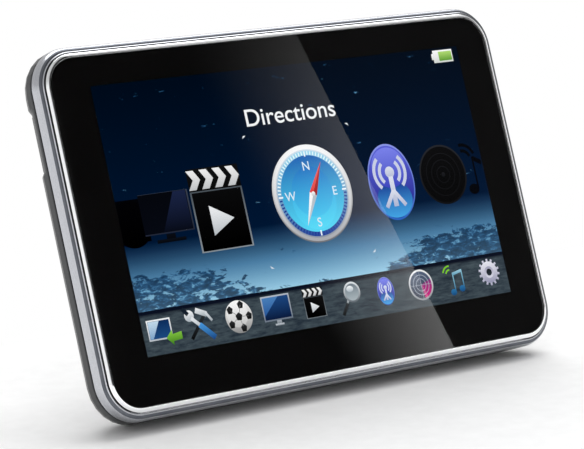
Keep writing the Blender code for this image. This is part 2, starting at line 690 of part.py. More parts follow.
def card_and_socket():
    """The memory card and the sheet-metal socket that it slides in, open to the left."""
    card_left = LEFT + CARD_SIDE_MARGIN
    across = (CARD_SOCKET_LEFT, card_left + CARD_LENGTH + CARD_SOCKET_END)
    tall = around(CARD_Z, CARD_WIDTH + 2 * (GAP + CARD_SOCKET_WALL))
    socket = box("micro_sd_socket", across, (ON_BOARD, CARD_SOCKET_BACK), tall, "steel")
    hollow_x = (CARD_SOCKET_LEFT - GAP, card_left + CARD_LENGTH + GAP)
    hollow = (CARD_FRONT - GAP, CARD_BACK + GAP)
    cutter = box("card_hollow", hollow_x, hollow, around(CARD_Z, CARD_WIDTH + 2 * GAP), None)
    combine(socket, cutter, "DIFFERENCE")
    span = (card_left, card_left + CARD_LENGTH)
    middle = (card_left, depth_y((CARD_FRONT + CARD_BACK) / 2), CARD_Z)
    card_tall = around(CARD_Z, CARD_WIDTH)
    box("micro_sd_card", span, (CARD_FRONT, CARD_BACK), card_tall, "black_plastic", middle)


# Power button, its switch, the charge light and the reset switch.

BUTTON_X = LEFT + BUTTON_FROM_LEFT
INNER_TOP = HEIGHT - WALL
SWITCH_TOP = BOARD_TOP
PLUNGER_DEPTH = ON_BOARD + 0.9 * MM
PLUNGER_TOP = INNER_TOP - GAP - FLANGE_THICKNESS - BUTTON_STEM - GAP
LIGHT_X = LEFT + LIGHT_FROM_LEFT
RESET_X = BOARD_RIGHT - RESET_FROM_BOARD_EDGE


def power_button():
    """The button: its cap, the flange that keeps it in, and the stem that meets the switch."""
    stem = (BUTTON_X, STEM_SIZE[0] / 2, PLUNGER_DEPTH, STEM_SIZE[1] / 2, 0.1 * MM)
    wide = (BUTTON_LENGTH / 2 + FLANGE_MARGIN, BUTTON_THICKNESS / 2 + 0.7 * FLANGE_MARGIN)
    flange = (BUTTON_X, wide[0], BUTTON_DEPTH, wide[1], FLANGE_MARGIN)
    cap = (BUTTON_X, BUTTON_LENGTH / 2, BUTTON_DEPTH, BUTTON_THICKNESS / 2)
    corner = BUTTON_THICKNESS / 2 - 0.1 * MM
    flange_top = INNER_TOP - GAP
    flange_low = flange_top - FLANGE_THICKNESS
    top = HEIGHT + BUTTON_PROUD
    loops = [level_loop(*stem, flange_low - BUTTON_STEM), level_loop(*stem, flange_low)]
    loops += [level_loop(*flange, flange_low), level_loop(*flange, flange_top)]
    loops += [level_loop(*cap, corner, flange_top), level_loop(*cap, corner, top)]
    middle = (BUTTON_X, depth_y(BUTTON_DEPTH), HEIGHT)
    loft("power_button", loops, "chrome", origin=middle)


def power_switch():
    """The side-push switch at the top edge of the board, with its plunger."""
    pocket_low = SWITCH_TOP - 3 * POWER_TRAVEL
    depths = (ON_BOARD, 2 * PLUNGER_DEPTH - ON_BOARD)
    span = (SWITCH_TOP - SWITCH_HEIGHT, SWITCH_TOP)
    body = box("power_switch", around(BUTTON_X, SWITCH_WIDTH), depths, span, "steel")
    hole = around(PLUNGER_DEPTH, PLUNGER_SIZE + 2 * GAP)
    across = around(BUTTON_X, 2 * PLUNGER_SIZE + 2 * GAP)
    cutter = box("switch_pocket", across, hole, (pocket_low, SWITCH_TOP + GAP), None)
    combine(body, cutter, "DIFFERENCE")
    plunger_span = (pocket_low + POWER_TRAVEL + GAP, PLUNGER_TOP)
    plunger = around(PLUNGER_DEPTH, PLUNGER_SIZE)
    wide = around(BUTTON_X, 2 * PLUNGER_SIZE)
    middle = (BUTTON_X, depth_y(PLUNGER_DEPTH), PLUNGER_TOP)
    box("power_switch_plunger", wide, plunger, plunger_span, "black_plastic", middle)


def charge_light():
    """The charge light on the board and the clear pipe that carries it out through the top."""
    top = BOARD_TOP - 2 * GAP
    pipe_depth = ON_BOARD + LIGHT_PIPE_RADIUS
    depths = (ON_BOARD, ON_BOARD + 2 * LIGHT_PIPE_RADIUS)
    box("charge_led", around(LIGHT_X, LED_SIZE), depths, (top - LED_SIZE, top), "white_plastic")
    ends = (top + GAP, HEIGHT - LIGHT_SINK)
    pipe = [level_circle(LIGHT_PIPE_RADIUS, LIGHT_X, pipe_depth, z) for z in ends]
    loft("charge_light_pipe", pipe, "clear_plastic", smooth=True)


def reset_switch():
    """The reset switch on the board and its plunger, which a pin reaches from the back."""
    back = ON_BOARD + RESET_HEIGHT
    across = around(RESET_X, RESET_WIDTH)
    upward = around(RESET_FROM_BOTTOM, RESET_WIDTH)
    body = box("reset_switch", across, (ON_BOARD, back), upward, "steel")
    floor = back - 2 * GAP - RESET_TRAVEL
    pocket = bmesh.new()
    ends = (floor, back + GAP)
    radius = PINHOLE_RADIUS
    loft_into(pocket, [upright_circle(radius, d, RESET_X, RESET_FROM_BOTTOM, 12) for d in ends])
    combine(body, add_piece("reset_pocket", pocket, None), "DIFFERENCE")
    ends = (floor + RESET_TRAVEL + GAP, back + RESET_PLUNGER)
    radius -= GAP
    plunger = [upright_circle(radius, d, RESET_X, RESET_FROM_BOTTOM, 12) for d in ends]
    middle = (RESET_X, depth_y(ends[1]), RESET_FROM_BOTTOM)
    loft("reset_plunger", plunger, "white_plastic", origin=middle, smooth=True)


# Battery. Two leads run from its protection strip to a plug on the board.

STRIP_BOTTOM = BATTERY_TOP + GAP
STRIP_LEFT = BATTERY_LEFT + STRIP_INDENT
STRIP_RIGHT = WIDTH / 2 - SCREW_SIDE_MARGIN - BOSS_RADIUS - STRIP_CLEARANCE
PLUG_X = BOARD_RIGHT - PLUG_FROM_BOARD_EDGE
PLUG_BOTTOM = STRIP_BOTTOM - PLUG_BELOW_STRIP
PLUG_TOP = PLUG_BOTTOM + PLUG_LENGTH


def battery():
    """The flat lithium pack, its protection strip, and the foam pad that the shell presses on it."""
    across = (BATTERY_LEFT, BATTERY_RIGHT)
    back = BOARD_FRONT + BATTERY_THICKNESS
    pack = box("battery_pack", across, (BOARD_FRONT, back), (BATTERY_BOTTOM, BATTERY_TOP), "foil")
    rounding = pack.modifiers.new("rounded_edges", "BEVEL")
    rounding.width = 1.0 * MM
    rounding.segments = 2
    inside = (across[0] + PAD_MARGIN, across[1] - PAD_MARGIN)
    upward = (BATTERY_BOTTOM + PAD_MARGIN, BATTERY_TOP - PAD_MARGIN)
    pad = (INNER_BACK - GAP - BATTERY_PAD_THICKNESS, INNER_BACK - GAP)
    box("battery_pad", inside, pad, upward, "black_foam")
    strip = (STRIP_LEFT, STRIP_RIGHT)
    depths = (STRIP_FRONT, STRIP_FRONT + STRIP_THICKNESS)
    box("battery_board", strip, depths, (STRIP_BOTTOM, STRIP_BOTTOM + STRIP_HEIGHT), "board_green")


def battery_connection():
    """The socket on the board, the plug in it, and the two leads."""
    depths = (ON_BOARD, ON_BOARD + PLUG_THICKNESS)
    across = around(PLUG_X, PLUG_WIDTH)
    socket_low = PLUG_BOTTOM - GAP - PLUG_LENGTH
    box("battery_socket", across, depths, (socket_low, PLUG_BOTTOM - GAP), "white_plastic")
    box("battery_plug", across, depths, (PLUG_BOTTOM, PLUG_TOP), "white_plastic")
    rise = STRIP_BOTTOM + STRIP_HEIGHT + LEAD_LOOP
    for name, finish, level in (("red", "red_wire", 0), ("black", "black_wire", 1)):
        depth = ON_BOARD + LEAD_RADIUS + level * (2 * LEAD_RADIUS + GAP)
        leave = Vector((PLUG_X, depth_y(depth), PLUG_TOP + GAP))
        arrive = Vector((STRIP_LEFT - GAP, depth_y(depth), STRIP_BOTTOM + STRIP_HEIGHT / 2))
        crest = Vector(((leave.x + arrive.x) / 2, depth_y(depth), rise))
        lift = Vector((0.0, 0.0, (rise - leave.z) / 2))
        reach = Vector((LEAD_LOOP, 0.0, 0.0))
        route = [leave, leave + lift, crest, arrive - reach, arrive]
        tube("battery_lead_" + name, route, LEAD_RADIUS, finish)


# Speaker, which is fixed behind the grille. Its cone and coil move together.

SPEAKER_X = LEFT + SPEAKER_FROM_LEFT
SPEAKER_Z = SPEAKER_FROM_BOTTOM
SPEAKER_BACK = INNER_BACK - 2 * GAP - SPEAKER_GASKET_THICKNESS
SPEAKER_FRONT = SPEAKER_BACK - SPEAKER_HEIGHT
SPEAKER_FLOOR = 0.7 * MM
CONE_RADIUS = SPEAKER_RADIUS - SPEAKER_RIM - 0.4 * MM


def speaker_loops(section, steps):
    """Circles about the speaker's axis for a section of (radius, depth) points."""
    return [upright_circle(radius, depth, SPEAKER_X, SPEAKER_Z, steps) for radius, depth in section]


def speaker():
    """The frame, magnet, voice coil, cone, gasket and dust mesh."""
    hole = MAGNET_RADIUS + 2 * GAP
    rim = SPEAKER_RADIUS - SPEAKER_RIM
    floor = SPEAKER_FRONT + SPEAKER_FLOOR
    section = [(hole, SPEAKER_FRONT), (SPEAKER_RADIUS, SPEAKER_FRONT), (SPEAKER_RADIUS, SPEAKER_BACK)]
    section += [(rim, SPEAKER_BACK), (rim, floor), (hole, floor)]
    loft("speaker_frame", speaker_loops(section, 32), "black_plastic", ring=True, smooth=True)
    magnet_back = floor + 0.2 * MM
    section = [(MAGNET_RADIUS, SPEAKER_FRONT), (MAGNET_RADIUS, magnet_back)]
    loft("speaker_magnet", speaker_loops(section, 24), "steel", smooth=True)
    coil = (magnet_back + GAP, magnet_back + GAP + COIL_HEIGHT)
    inner, outer = COIL_RADIUS, COIL_RADIUS + COIL_WALL
    section = [(outer, coil[0]), (outer, coil[1]), (inner, coil[1]), (inner, coil[0])]
    axis = (SPEAKER_X, depth_y(SPEAKER_BACK), SPEAKER_Z)
    loft("speaker_voice_coil", speaker_loops(section, 24), "copper", True, axis, True)
    low = coil[1] + GAP
    rim_depth = low + CONE_DISH
    section = [(COIL_RADIUS, low), (CONE_RADIUS, rim_depth)]
    section += [(CONE_RADIUS, rim_depth + CONE_SHEET), (COIL_RADIUS, low + CONE_SHEET)]
    loft("speaker_cone", speaker_loops(section, 32), "paper_cone", origin=axis, smooth=True)
    seat = (INNER_BACK - GAP - SPEAKER_GASKET_THICKNESS, INNER_BACK - GAP)
    section = [(SPEAKER_RADIUS, seat[0]), (SPEAKER_RADIUS, seat[1]), (rim, seat[1]), (rim, seat[0])]
    loft("speaker_gasket", speaker_loops(section, 32), "black_foam", ring=True)
    middle = sum(seat) / 2
    section = [(rim - GAP, middle - MESH_SHEET / 2), (rim - GAP, middle + MESH_SHEET / 2)]
    loft("speaker_mesh", speaker_loops(section, 32), "black_foam")


def speaker_leads():
    """Two short leads from the frame's edge to the board."""
    edge = SPEAKER_RADIUS + GAP + LEAD_RADIUS
    for number in (1, 2):
        angle = radians(8 + 14 * number)
        start = Vector((SPEAKER_X + edge * cos(angle), 0.0, SPEAKER_Z + edge * sin(angle)))
        start.y = depth_y(ON_BOARD + 2 * LEAD_RADIUS)
        end = start + Vector((0.0, 0.0, SPEAKER_LEAD_SPAN))
        middle = (start + end) / 2 + Vector((LEAD_RADIUS, LEAD_RADIUS, 0.0))
        tube(f"speaker_lead_{number}", [start, middle, end], LEAD_RADIUS * 0.7, "black_wire", 7)


# Rear shell, and the screws that close the case.


def scoop():
    """The finger scoop over the card slot: the shell's own curve, moved in between two ramps."""
    first, last = SIDE_CURVE_START + GAP, CARD_BACK + 4 * GAP
    stations = [first + (last - first) * step / 8 for step in range(9)]
    far = LEFT - 2 * SCOOP_DEPTH
    half = SCOOP_LENGTH / 2
    loops = []
    for rise, sunk in ((-half - SCOOP_RAMP, -0.1), (-half, 1), (half, 1), (half + SCOOP_RAMP, -0.1)):
        z = CARD_Z + rise
        floor = [(sunk * SCOOP_DEPTH - shell_side(depth, 0.0), depth) for depth in stations]
        outline = [*floor, (far, last), (far, first)]
        loops.append([Vector((x, depth_y(depth), z)) for x, depth in outline])
    builder = bmesh.new()
    loft_into(builder, loops)
    return add_piece("card_scoop", builder, None)


def shell_openings():
    """Every hole and slot in the rear shell, as one tool."""
    tool = bmesh.new()
    slot = (CARD_FRONT - GAP, CARD_BACK + GAP)
    box_into(tool, (LEFT, CARD_SOCKET_LEFT), slot, around(CARD_Z, CARD_WIDTH + 2 * GAP))
    port_z = (-GAP, 2 * WALL)
    port = (SUNK_FRONT - GAP, SUNK_FRONT + USB_HEIGHT + GAP)
    box_into(tool, around(USB_X, USB_WIDTH + 2 * GAP), port, port_z)
    loft_into(tool, [level_circle(JACK_HOLE_RADIUS, JACK_X, JACK_DEPTH, z, 20) for z in port_z])
    mic_depth = ON_BOARD + MIC_SIZE[1] / 2
    loft_into(tool, [level_circle(MIC_HOLE_RADIUS, MIC_X, mic_depth, z, 10) for z in port_z])
    top = (INNER_TOP - GAP / 2, HEIGHT + GAP)
    half = (BUTTON_LENGTH / 2 + GAP, BUTTON_THICKNESS / 2 + GAP)
    corner = BUTTON_THICKNESS / 2
    button = [level_loop(BUTTON_X, half[0], BUTTON_DEPTH, half[1], corner, z) for z in top]
    loft_into(tool, button)
    pipe_depth = ON_BOARD + LIGHT_PIPE_RADIUS
    hole = LIGHT_PIPE_RADIUS + GAP
    loft_into(tool, [level_circle(hole, LIGHT_X, pipe_depth, z) for z in top])
    through = (INNER_BACK - GAP, THICKNESS + GAP)
    pinhole = [upright_circle(PINHOLE_RADIUS, d, RESET_X, RESET_FROM_BOTTOM, 12) for d in through]
    loft_into(tool, pinhole)
    half_width = GRILLE_SLOT_WIDTH / 2
    for number in range(GRILLE_SLOTS):
        rise = (number - (GRILLE_SLOTS - 1) / 2) * GRILLE_PITCH
        half_length = sqrt((CONE_RADIUS - GRILLE_SLOT_WIDTH) ** 2 - rise**2)
        sides = (half_length, half_width, half_width - GAP / 10)
        place = (SPEAKER_X, SPEAKER_Z + rise, 3)
        loft_into(tool, [upright_loop(*sides, depth, *place) for depth in through])
    blind = (THICKNESS - CRADLE_SLOT_DEPTH, THICKNESS + GAP)
    low, high = CRADLE_SLOT_FROM_EDGE, HEIGHT - CRADLE_SLOT_FROM_EDGE
    for x, z in ((-CRADLE_SLOT_SPREAD, low), (CRADLE_SLOT_SPREAD, low), (0.0, high)):
        sides = around(z, CRADLE_SLOT_WIDTH)
        box_into(tool, around(x, CRADLE_SLOT_LENGTH), blind, sides)
    boss_front = POST_BACK + GAP
    seat = THICKNESS - CASE_HEAD_SINK - CASE_HEAD_HEIGHT - GAP
    bore = [(SCREW_HOLE_RADIUS, boss_front - GAP), (SCREW_HOLE_RADIUS, seat)]
    bore += [(CASE_HEAD_RADIUS + GAP, seat), (CASE_HEAD_RADIUS + GAP, THICKNESS + GAP)]
    for x, z in case_screw_places():
        loft_into(tool, [upright_circle(radius, depth, x, z) for radius, depth in bore])
    return add_piece("shell_openings", tool, None)


def rear_shell():
    """The moulded shell, with a boss for each case screw."""
    loops = list(reversed(shell_skin(WALL))) + shell_skin(0.0)
    shell = loft("rear_shell", loops, "gunmetal", smooth=True)
    bosses = bmesh.new()
    ends = (POST_BACK + GAP, THICKNESS - WALL / 2)
    for x, z in case_screw_places():
        loft_into(bosses, [upright_circle(BOSS_RADIUS, depth, x, z, 20) for depth in ends])
    combine(shell, add_piece("shell_bosses", bosses, None), "UNION")
    combine(shell, scoop(), "DIFFERENCE")
    combine(shell, shell_openings(), "DIFFERENCE")


def screws():
    """Four screws close the case from the back, and three hold the board."""
    head_back = THICKNESS - CASE_HEAD_SINK
    neck = head_back - CASE_HEAD_HEIGHT
    tip = CHASSIS_BACK + GAP
    section = [(SHANK_RADIUS, tip), (SHANK_RADIUS, neck)]
    section += [(CASE_HEAD_RADIUS, neck), (CASE_HEAD_RADIUS, head_back)]
    for number, (x, z) in enumerate(case_screw_places(), start=1):
        loops = [upright_circle(radius, depth, x, z) for radius, depth in section]
        origin = (x, depth_y(neck), z)
        loft(f"case_screw_{number}", loops, "steel", origin=origin, smooth=True)
    section = [(SHANK_RADIUS, CHASSIS_FRONT), (SHANK_RADIUS, ON_BOARD)]
    section += [(BOARD_HEAD_RADIUS, ON_BOARD), (BOARD_HEAD_RADIUS, ON_BOARD + BOARD_HEAD_HEIGHT)]
    for number, (x, z) in enumerate(board_screw_places(), start=1):
        loops = [upright_circle(radius, depth, x, z, 12) for radius, depth in section]
        origin = (x, depth_y(ON_BOARD), z)
        loft(f"board_screw_{number}", loops, "steel", origin=origin, smooth=True)


chrome_rim()
front_frame()
touch_glass()
glass_gasket()
display()
flex_tails()
mid_chassis()
main_board()
board_parts()
usb_socket()
headphone_socket()
microphone()
card_and_socket()
power_button()
power_switch()
charge_light()
reset_switch()
battery()
battery_connection()
speaker()
speaker_leads()
rear_shell()
screws()
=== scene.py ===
"""The finished look of a portable GPS navigator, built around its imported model.

Lengths are in metres, and sizes given in millimetres are multiplied by MM. The screen faces -Y.
A depth is measured back from the crest of the bead around the glass.
"""

from math import cos, pi, radians, sin

import bmesh
import bpy
from mathutils import Matrix, Vector


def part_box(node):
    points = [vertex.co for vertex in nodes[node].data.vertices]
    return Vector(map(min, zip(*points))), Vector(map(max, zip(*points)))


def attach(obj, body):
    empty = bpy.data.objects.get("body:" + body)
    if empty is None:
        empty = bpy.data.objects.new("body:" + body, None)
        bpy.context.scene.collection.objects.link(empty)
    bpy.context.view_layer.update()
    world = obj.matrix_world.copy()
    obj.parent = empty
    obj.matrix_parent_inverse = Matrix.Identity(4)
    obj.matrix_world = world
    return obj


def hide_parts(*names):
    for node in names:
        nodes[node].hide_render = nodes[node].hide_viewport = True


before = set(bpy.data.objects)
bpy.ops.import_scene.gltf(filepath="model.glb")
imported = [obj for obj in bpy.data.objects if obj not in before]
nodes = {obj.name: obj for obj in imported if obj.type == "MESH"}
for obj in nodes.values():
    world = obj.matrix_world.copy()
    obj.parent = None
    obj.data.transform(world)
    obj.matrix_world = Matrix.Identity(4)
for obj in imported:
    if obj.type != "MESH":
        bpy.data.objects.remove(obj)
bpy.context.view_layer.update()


# Bead. A polished trim with a rounded crest runs around the glass. It is moulded in ABS, plated
# with chrome, and pressed onto the ledge of the front frame.

MM = 0.001
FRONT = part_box("chrome_rim")[0].y
CASE_LOW, CASE_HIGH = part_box("front_frame")
CORNER_RADIUS = 8.4
CORNER_STEPS = 20
BEAD_INSET = 1.6
BEAD_WIDTH = 0.8
BEAD_BACK = 1.9
THIN = 0.0005


def case_outline(builder, inset, depth):
    """One face with the case's outline, drawn in by `inset` mm, that faces the front."""
    width = (CASE_HIGH.x - CASE_LOW.x) / MM - 2 * inset
    height = (CASE_HIGH.z - CASE_LOW.z) / MM - 2 * inset
    made = bmesh.ops.create_grid(builder, x_segments=1, y_segments=1, size=0.5)["verts"]
    bmesh.ops.scale(builder, vec=(width * MM, height * MM, 1.0), verts=made)
    bmesh.ops.bevel(
        builder,
        geom=made,
        offset=(CORNER_RADIUS - inset) * MM,
        segments=CORNER_STEPS,
        profile=0.5,
        affect="VERTICES",
        material=-1,
    )
    bmesh.ops.rotate(builder, matrix=Matrix.Rotation(pi / 2, 3, "X"), verts=builder.verts)
    middle = (CASE_LOW + CASE_HIGH) / 2
    place = (middle.x, FRONT + depth * MM, middle.z)
    bmesh.ops.translate(builder, vec=place, verts=builder.verts)
    return list(builder.faces)


def terrace(builder, cap, steps):
    """Draws the cap in and moves it along its own normal, by each (inward, forward) step in mm."""
    for inward, forward in steps:
        drawn = max(inward, THIN) * MM
        bmesh.ops.inset_region(
            builder,
            faces=cap,
            thickness=drawn,
            depth=forward * MM,
            use_boundary=True,
            use_even_offset=True,
        )


def close_ring(builder, cap):
    """Removes the cap and joins the inner and outer back edges, so that a closed ring is left."""
    bmesh.ops.delete(builder, geom=cap, context="FACES_ONLY")
    open_edges = [edge for edge in builder.edges if edge.is_boundary]
    bmesh.ops.bridge_loops(builder, edges=open_edges)
    bmesh.ops.recalc_face_normals(builder, faces=builder.faces)


def piece(name, builder, material, body="case", smooth=True):
    """Makes the object, gives it its material and lets it ride on a body."""
    mesh = bpy.data.meshes.new(name)
    builder.to_mesh(mesh)
    builder.free()
    mesh.materials.append(material)
    if smooth:
        mesh.shade_smooth()
        mesh.set_sharp_from_angle(angle=radians(40))
    made = bpy.data.objects.new(name, mesh)
    bpy.context.scene.collection.objects.link(made)
    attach(made, body)
    return made


def linear(hex_colour):
    """An sRGB hex colour as the linear RGBA that a shader takes."""
    channels = [int(hex_colour[i : i + 2], 16) / 255 for i in (0, 2, 4)]
    return [c / 12.92 if c <= 0.04045 else ((c + 0.055) / 1.055) ** 2.4 for c in channels] + [1.0]


def add(tree, kind, settings=None, links=None, **properties):
    """Adds a node with its properties, socket values and incoming links."""
    node = tree.nodes.new(kind)
    for name, value in properties.items():
        setattr(node, name, value)
    for socket, value in (settings or {}).items():
        node.inputs[socket].default_value = value
    for socket, source in (links or {}).items():
        tree.links.new(source, node.inputs[socket])
    return node


def blank(name):
    """A new material, with its node tree and its shader."""
    made = bpy.data.materials.new(name)
    made.use_nodes = True
    return made, made.node_tree, made.node_tree.nodes["Principled BSDF"]


def ramp(tree, value, stops):
    """Adds a colour ramp over a value, from (place, hex colour) stops in rising order."""
    made = add(tree, "ShaderNodeValToRGB", links={"Fac": value})
    elements = made.color_ramp.elements
    for place, _ in stops[1:-1]:
        elements.new(place)
    for element, (place, colour) in zip(elements, stops):
        element.position = place
        element.color = linear(colour)
    return made.outputs["Color"]


def surface(name, dark, light, grain, relief, gloss, metallic=0.0, stretch=(1, 1, 1), **sockets):
    """A material whose tone, roughness and relief vary over grains of a size in mm."""
    made, tree, shader = blank(name)
    shader.inputs["Metallic"].default_value = metallic
    for socket, value in sockets.items():
        shader.inputs[socket.replace("_", " ")].default_value = value
    place = add(tree, "ShaderNodeTexCoord")
    drawn = add(tree, "ShaderNodeMapping", {"Scale": stretch}, {"Vector": place.outputs["Object"]})
    grains = add(
        tree,
        "ShaderNodeTexNoise",
        {"Scale": 1 / (grain * MM), "Detail": 4.0, "Roughness": 0.6},
        {"Vector": drawn.outputs["Vector"]},
    )
    tone = ramp(tree, grains.outputs["Fac"], ((0.3, dark), (0.7, light)))
    polish = add(
        tree,
        "ShaderNodeMapRange",
        {"To Min": gloss[0], "To Max": gloss[1]},
        {"Value": grains.outputs["Fac"]},
    )
    bumps = add(
        tree,
        "ShaderNodeBump",
        {"Strength": 1.0, "Distance": relief * MM},
        {"Height": grains.outputs["Fac"]},
    )
    tree.links.new(tone, shader.inputs["Base Color"])
    tree.links.new(polish.outputs["Result"], shader.inputs["Roughness"])
    tree.links.new(bumps.outputs["Normal"], shader.inputs["Normal"])
    return made


# Chrome plate is a clear mirror, with only a trace of the ripple of the moulding under it.
chrome_plate = surface("chrome_plate", "eef0f2", "f8f9fa", 6.0, 0.0008, (0.04, 0.1), 1.0)

# The face slopes outward, so it takes its light from beside the screen.
BEAD_TILT = radians(28)
BEAD_TURN = 0.1
INNER_TURN = 0.04


def quarter(across, back, last=90, steps=8):
    """Steps around an elliptical edge, from facing outward to a last angle in degrees."""
    turns = [radians(last * step / steps) for step in range(steps + 1)]
    pairs = zip(turns, turns[1:])
    return [(across * (cos(a) - cos(b)), back * (sin(b) - sin(a))) for a, b in pairs]


climb = quarter(BEAD_TURN, BEAD_TURN, 62, 5)
fall = [(inward, -forward) for inward, forward in reversed(quarter(INNER_TURN, INNER_TURN))]
across = BEAD_WIDTH - INNER_TURN - sum(inward for inward, _ in climb)
rise = across * sin(BEAD_TILT) / cos(BEAD_TILT)
wall = BEAD_BACK - rise - sum(forward for _, forward in climb)
builder = bmesh.new()
cap = case_outline(builder, BEAD_INSET, BEAD_BACK)
terrace(builder, cap, [(0, wall), *climb, (across, rise), *fall, (0, INNER_TURN - BEAD_BACK)])
close_ring(builder, cap)
bead = piece("polished_bead", builder, chrome_plate)
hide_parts("chrome_rim")


# Front frame. A satin silver band rounds back from the bead to the seam. It is moulded in ABS and
# sprayed with fine metallic paint under a clear lacquer.

BAND_CREST = 1.1
BAND_CHAMFER = 0.16
BAND_LAND = 0.1
BAND_FRONT = 0.65
BAND_CURVE_BACK = 2.6
BAND_BACK = 3.1
LEDGE = 2.2
LEDGE_WIDTH = 1.3

silver_paint = surface(
    "silver_metallic_paint", "b4b6bc", "cfd1d6", 0.12, 0.001, (0.2, 0.3), 1.0, Coat_Weight=0.3
)
drop = BAND_CURVE_BACK - BAND_FRONT - BAND_CHAMFER
shoulder = quarter(BAND_CREST, drop, 90, 10)
builder = bmesh.new()
cap = case_outline(builder, 0.0, BAND_BACK)
terrace(builder, cap, [(0, BAND_BACK - BAND_CURVE_BACK), *shoulder, (BAND_CHAMFER, BAND_CHAMFER)])
terrace(builder, cap, [(BAND_LAND, 0), (0, BAND_FRONT - LEDGE)])
terrace(builder, cap, [(LEDGE_WIDTH, 0), (0, LEDGE - BAND_BACK)])
close_ring(builder, cap)
# Faces of its front curve that look to the front get a darker metal. It is a painted dark
# reflection, which reads as a dark line beside the bead. The thin chamfer inside that line stays
# silver, and so does the ledge.
DARK_WITHIN = radians(52)
DARK_AFTER = BAND_FRONT + BAND_CHAMFER
DARK_BEFORE = LEDGE - 0.01
# This darker metal is a painted dark reflection on the front-facing curve of the band.
painted_dark_reflection = surface("painted_dark_reflection_metal", "5c5f66", "6e7178", 4.0, 0.001, (0.3, 0.4), 1.0)
for face in builder.faces:
    forward = face.normal.angle(Vector((0, -1, 0)))
    depth = (face.calc_center_median().y - FRONT) / MM
    if forward < DARK_WITHIN and DARK_AFTER < depth < DARK_BEFORE:
        face.material_index = 1
band = piece("silver_band", builder, silver_paint)
band.data.materials.append(painted_dark_reflection)
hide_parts("front_frame")


# Cover glass. One flush sheet of hardened glass carries the touch layer and a coating against
# glare. Black ink is printed on its back, all round the window.

GLASS_INSET = 2.45
GLASS_FRONT = 0.2
GLASS_BACK = 0.45
PRINT_DEPTH = 0.5
PRINT_INSET = GLASS_INSET + 0.1
COATED_IOR = 1.36
WIPE_SIZE = 14
WINDOW = (47.52, 26.93)
SCREEN_X = 0.6 * MM
SCREEN_Z = CASE_LOW.z + 38.8 * MM

cover, tree, shader = blank("hardened_glass")
shader.inputs["Base Color"].default_value = linear("ffffff")
shader.inputs["Transmission Weight"].default_value = 1.0
shader.inputs["IOR"].default_value = COATED_IOR
# Faint wipe marks, which soften the edge of a reflection a little in places.
place = add(tree, "ShaderNodeTexCoord")
wipes = add(
    tree,
    "ShaderNodeTexNoise",
    {"Scale": 1 / (WIPE_SIZE * MM), "Detail": 2.0},
    {"Vector": place.outputs["Object"]},
)
wiped = add(
    tree,
    "ShaderNodeMapRange",
    {"From Min": 0.35, "From Max": 0.7, "To Min": 0.0, "To Max": 0.015},
    {"Value": wipes.outputs["Fac"]},
)
tree.links.new(wiped.outputs[0], shader.inputs["Roughness"])

builder = bmesh.new()
cap = case_outline(builder, GLASS_INSET, GLASS_BACK)
sheet = bmesh.ops.extrude_face_region(builder, geom=cap)["geom"]
raised = [v for v in sheet if isinstance(v, bmesh.types.BMVert)]
lift = (0, (GLASS_FRONT - GLASS_BACK) * MM, 0)
bmesh.ops.translate(builder, vec=lift, verts=raised)
bmesh.ops.recalc_face_normals(builder, faces=builder.faces)
glass = piece("cover_glass", builder, cover, smooth=False)
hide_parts("touch_glass")

# Black screen ink, dense and even, with a faint tooth that takes the gloss off it.
black_ink = surface(
    "black_screen_ink", "0b0a0a", "0d0c0c", 0.3, 0.001, (0.5, 0.6), Specular_IOR_Level=0.05
)
builder = bmesh.new()
case_outline(builder, PRINT_INSET, PRINT_DEPTH)
for side in (-1, 1):
    across = (SCREEN_X + side * WINDOW[0] * MM, 0, 0)
    upward = (0, 0, SCREEN_Z + side * WINDOW[1] * MM)
    for point, normal in ((across, (1, 0, 0)), (upward, (0, 0, 1))):
        geometry = [*builder.verts, *builder.edges, *builder.faces]
        bmesh.ops.bisect_plane(builder, geom=geometry, plane_co=point, plane_no=normal)


def in_window(face):
    """Whether a face of the print lies over the picture."""
    middle = face.calc_center_bounds()
    beside = abs(middle.x - SCREEN_X) < WINDOW[0] * MM
    return beside and abs(middle.z - SCREEN_Z) < WINDOW[1] * MM


shown = [face for face in builder.faces if in_window(face)]
bmesh.ops.delete(builder, geom=shown, context="FACES")
piece("black_border_print", builder, black_ink, smooth=False)


# Display. The lit picture is a night-blue scene over a bright horizon, with dark water grasses low
# on both sides. A liquid crystal panel shows it, so it glows and takes no light.

PICTURE_DEPTH = 0.62
SPILL = 0.3
LEVEL = 0.006


def lamp(tree, shader, colour):
    """Makes a material give off a colour and reflect nothing."""
    shader.inputs["Base Color"].default_value = linear("000000")
    shader.inputs["Specular IOR Level"].default_value = 0.0
    shader.inputs["Roughness"].default_value = 1.0
    shader.inputs["Emission Strength"].default_value = 1.0
    tree.links.new(colour, shader.inputs["Emission Color"])


def hang(name, drawing, material):
    """Turns a flat drawing in mm upright, facing the front, and places it on the screen."""
    bmesh.ops.scale(drawing, vec=(MM, MM, MM), verts=drawing.verts)
    bmesh.ops.rotate(drawing, matrix=Matrix.Rotation(pi / 2, 3, "X"), verts=drawing.verts)
    place = (SCREEN_X, FRONT + PICTURE_DEPTH * MM, SCREEN_Z)
    bmesh.ops.translate(drawing, vec=place, verts=drawing.verts)
    piece(name, drawing, material, smooth=False)


def screen_place(tree):
    """A point in mm from the middle of the screen, and its axes."""
    place = add(tree, "ShaderNodeTexCoord")
    centred = add(
        tree,
        "ShaderNodeMapping",
        {"Location": (-SCREEN_X / MM, 0, -SCREEN_Z / MM), "Scale": (1 / MM, 1 / MM, 1 / MM)},
        {"Vector": place.outputs["Object"]},
    )
    axes = add(tree, "ShaderNodeSeparateXYZ", links={"Vector": centred.outputs["Vector"]})
    return centred.outputs["Vector"], axes.outputs


def between(first, second, share):
    """The hex colour that lies a share of the way from one to another."""
    pairs = [(int(first[i : i + 2], 16), int(second[i : i + 2], 16)) for i in (0, 2, 4)]
    return "".join(f"{round(a + (b - a) * share):02x}" for a, b in pairs)


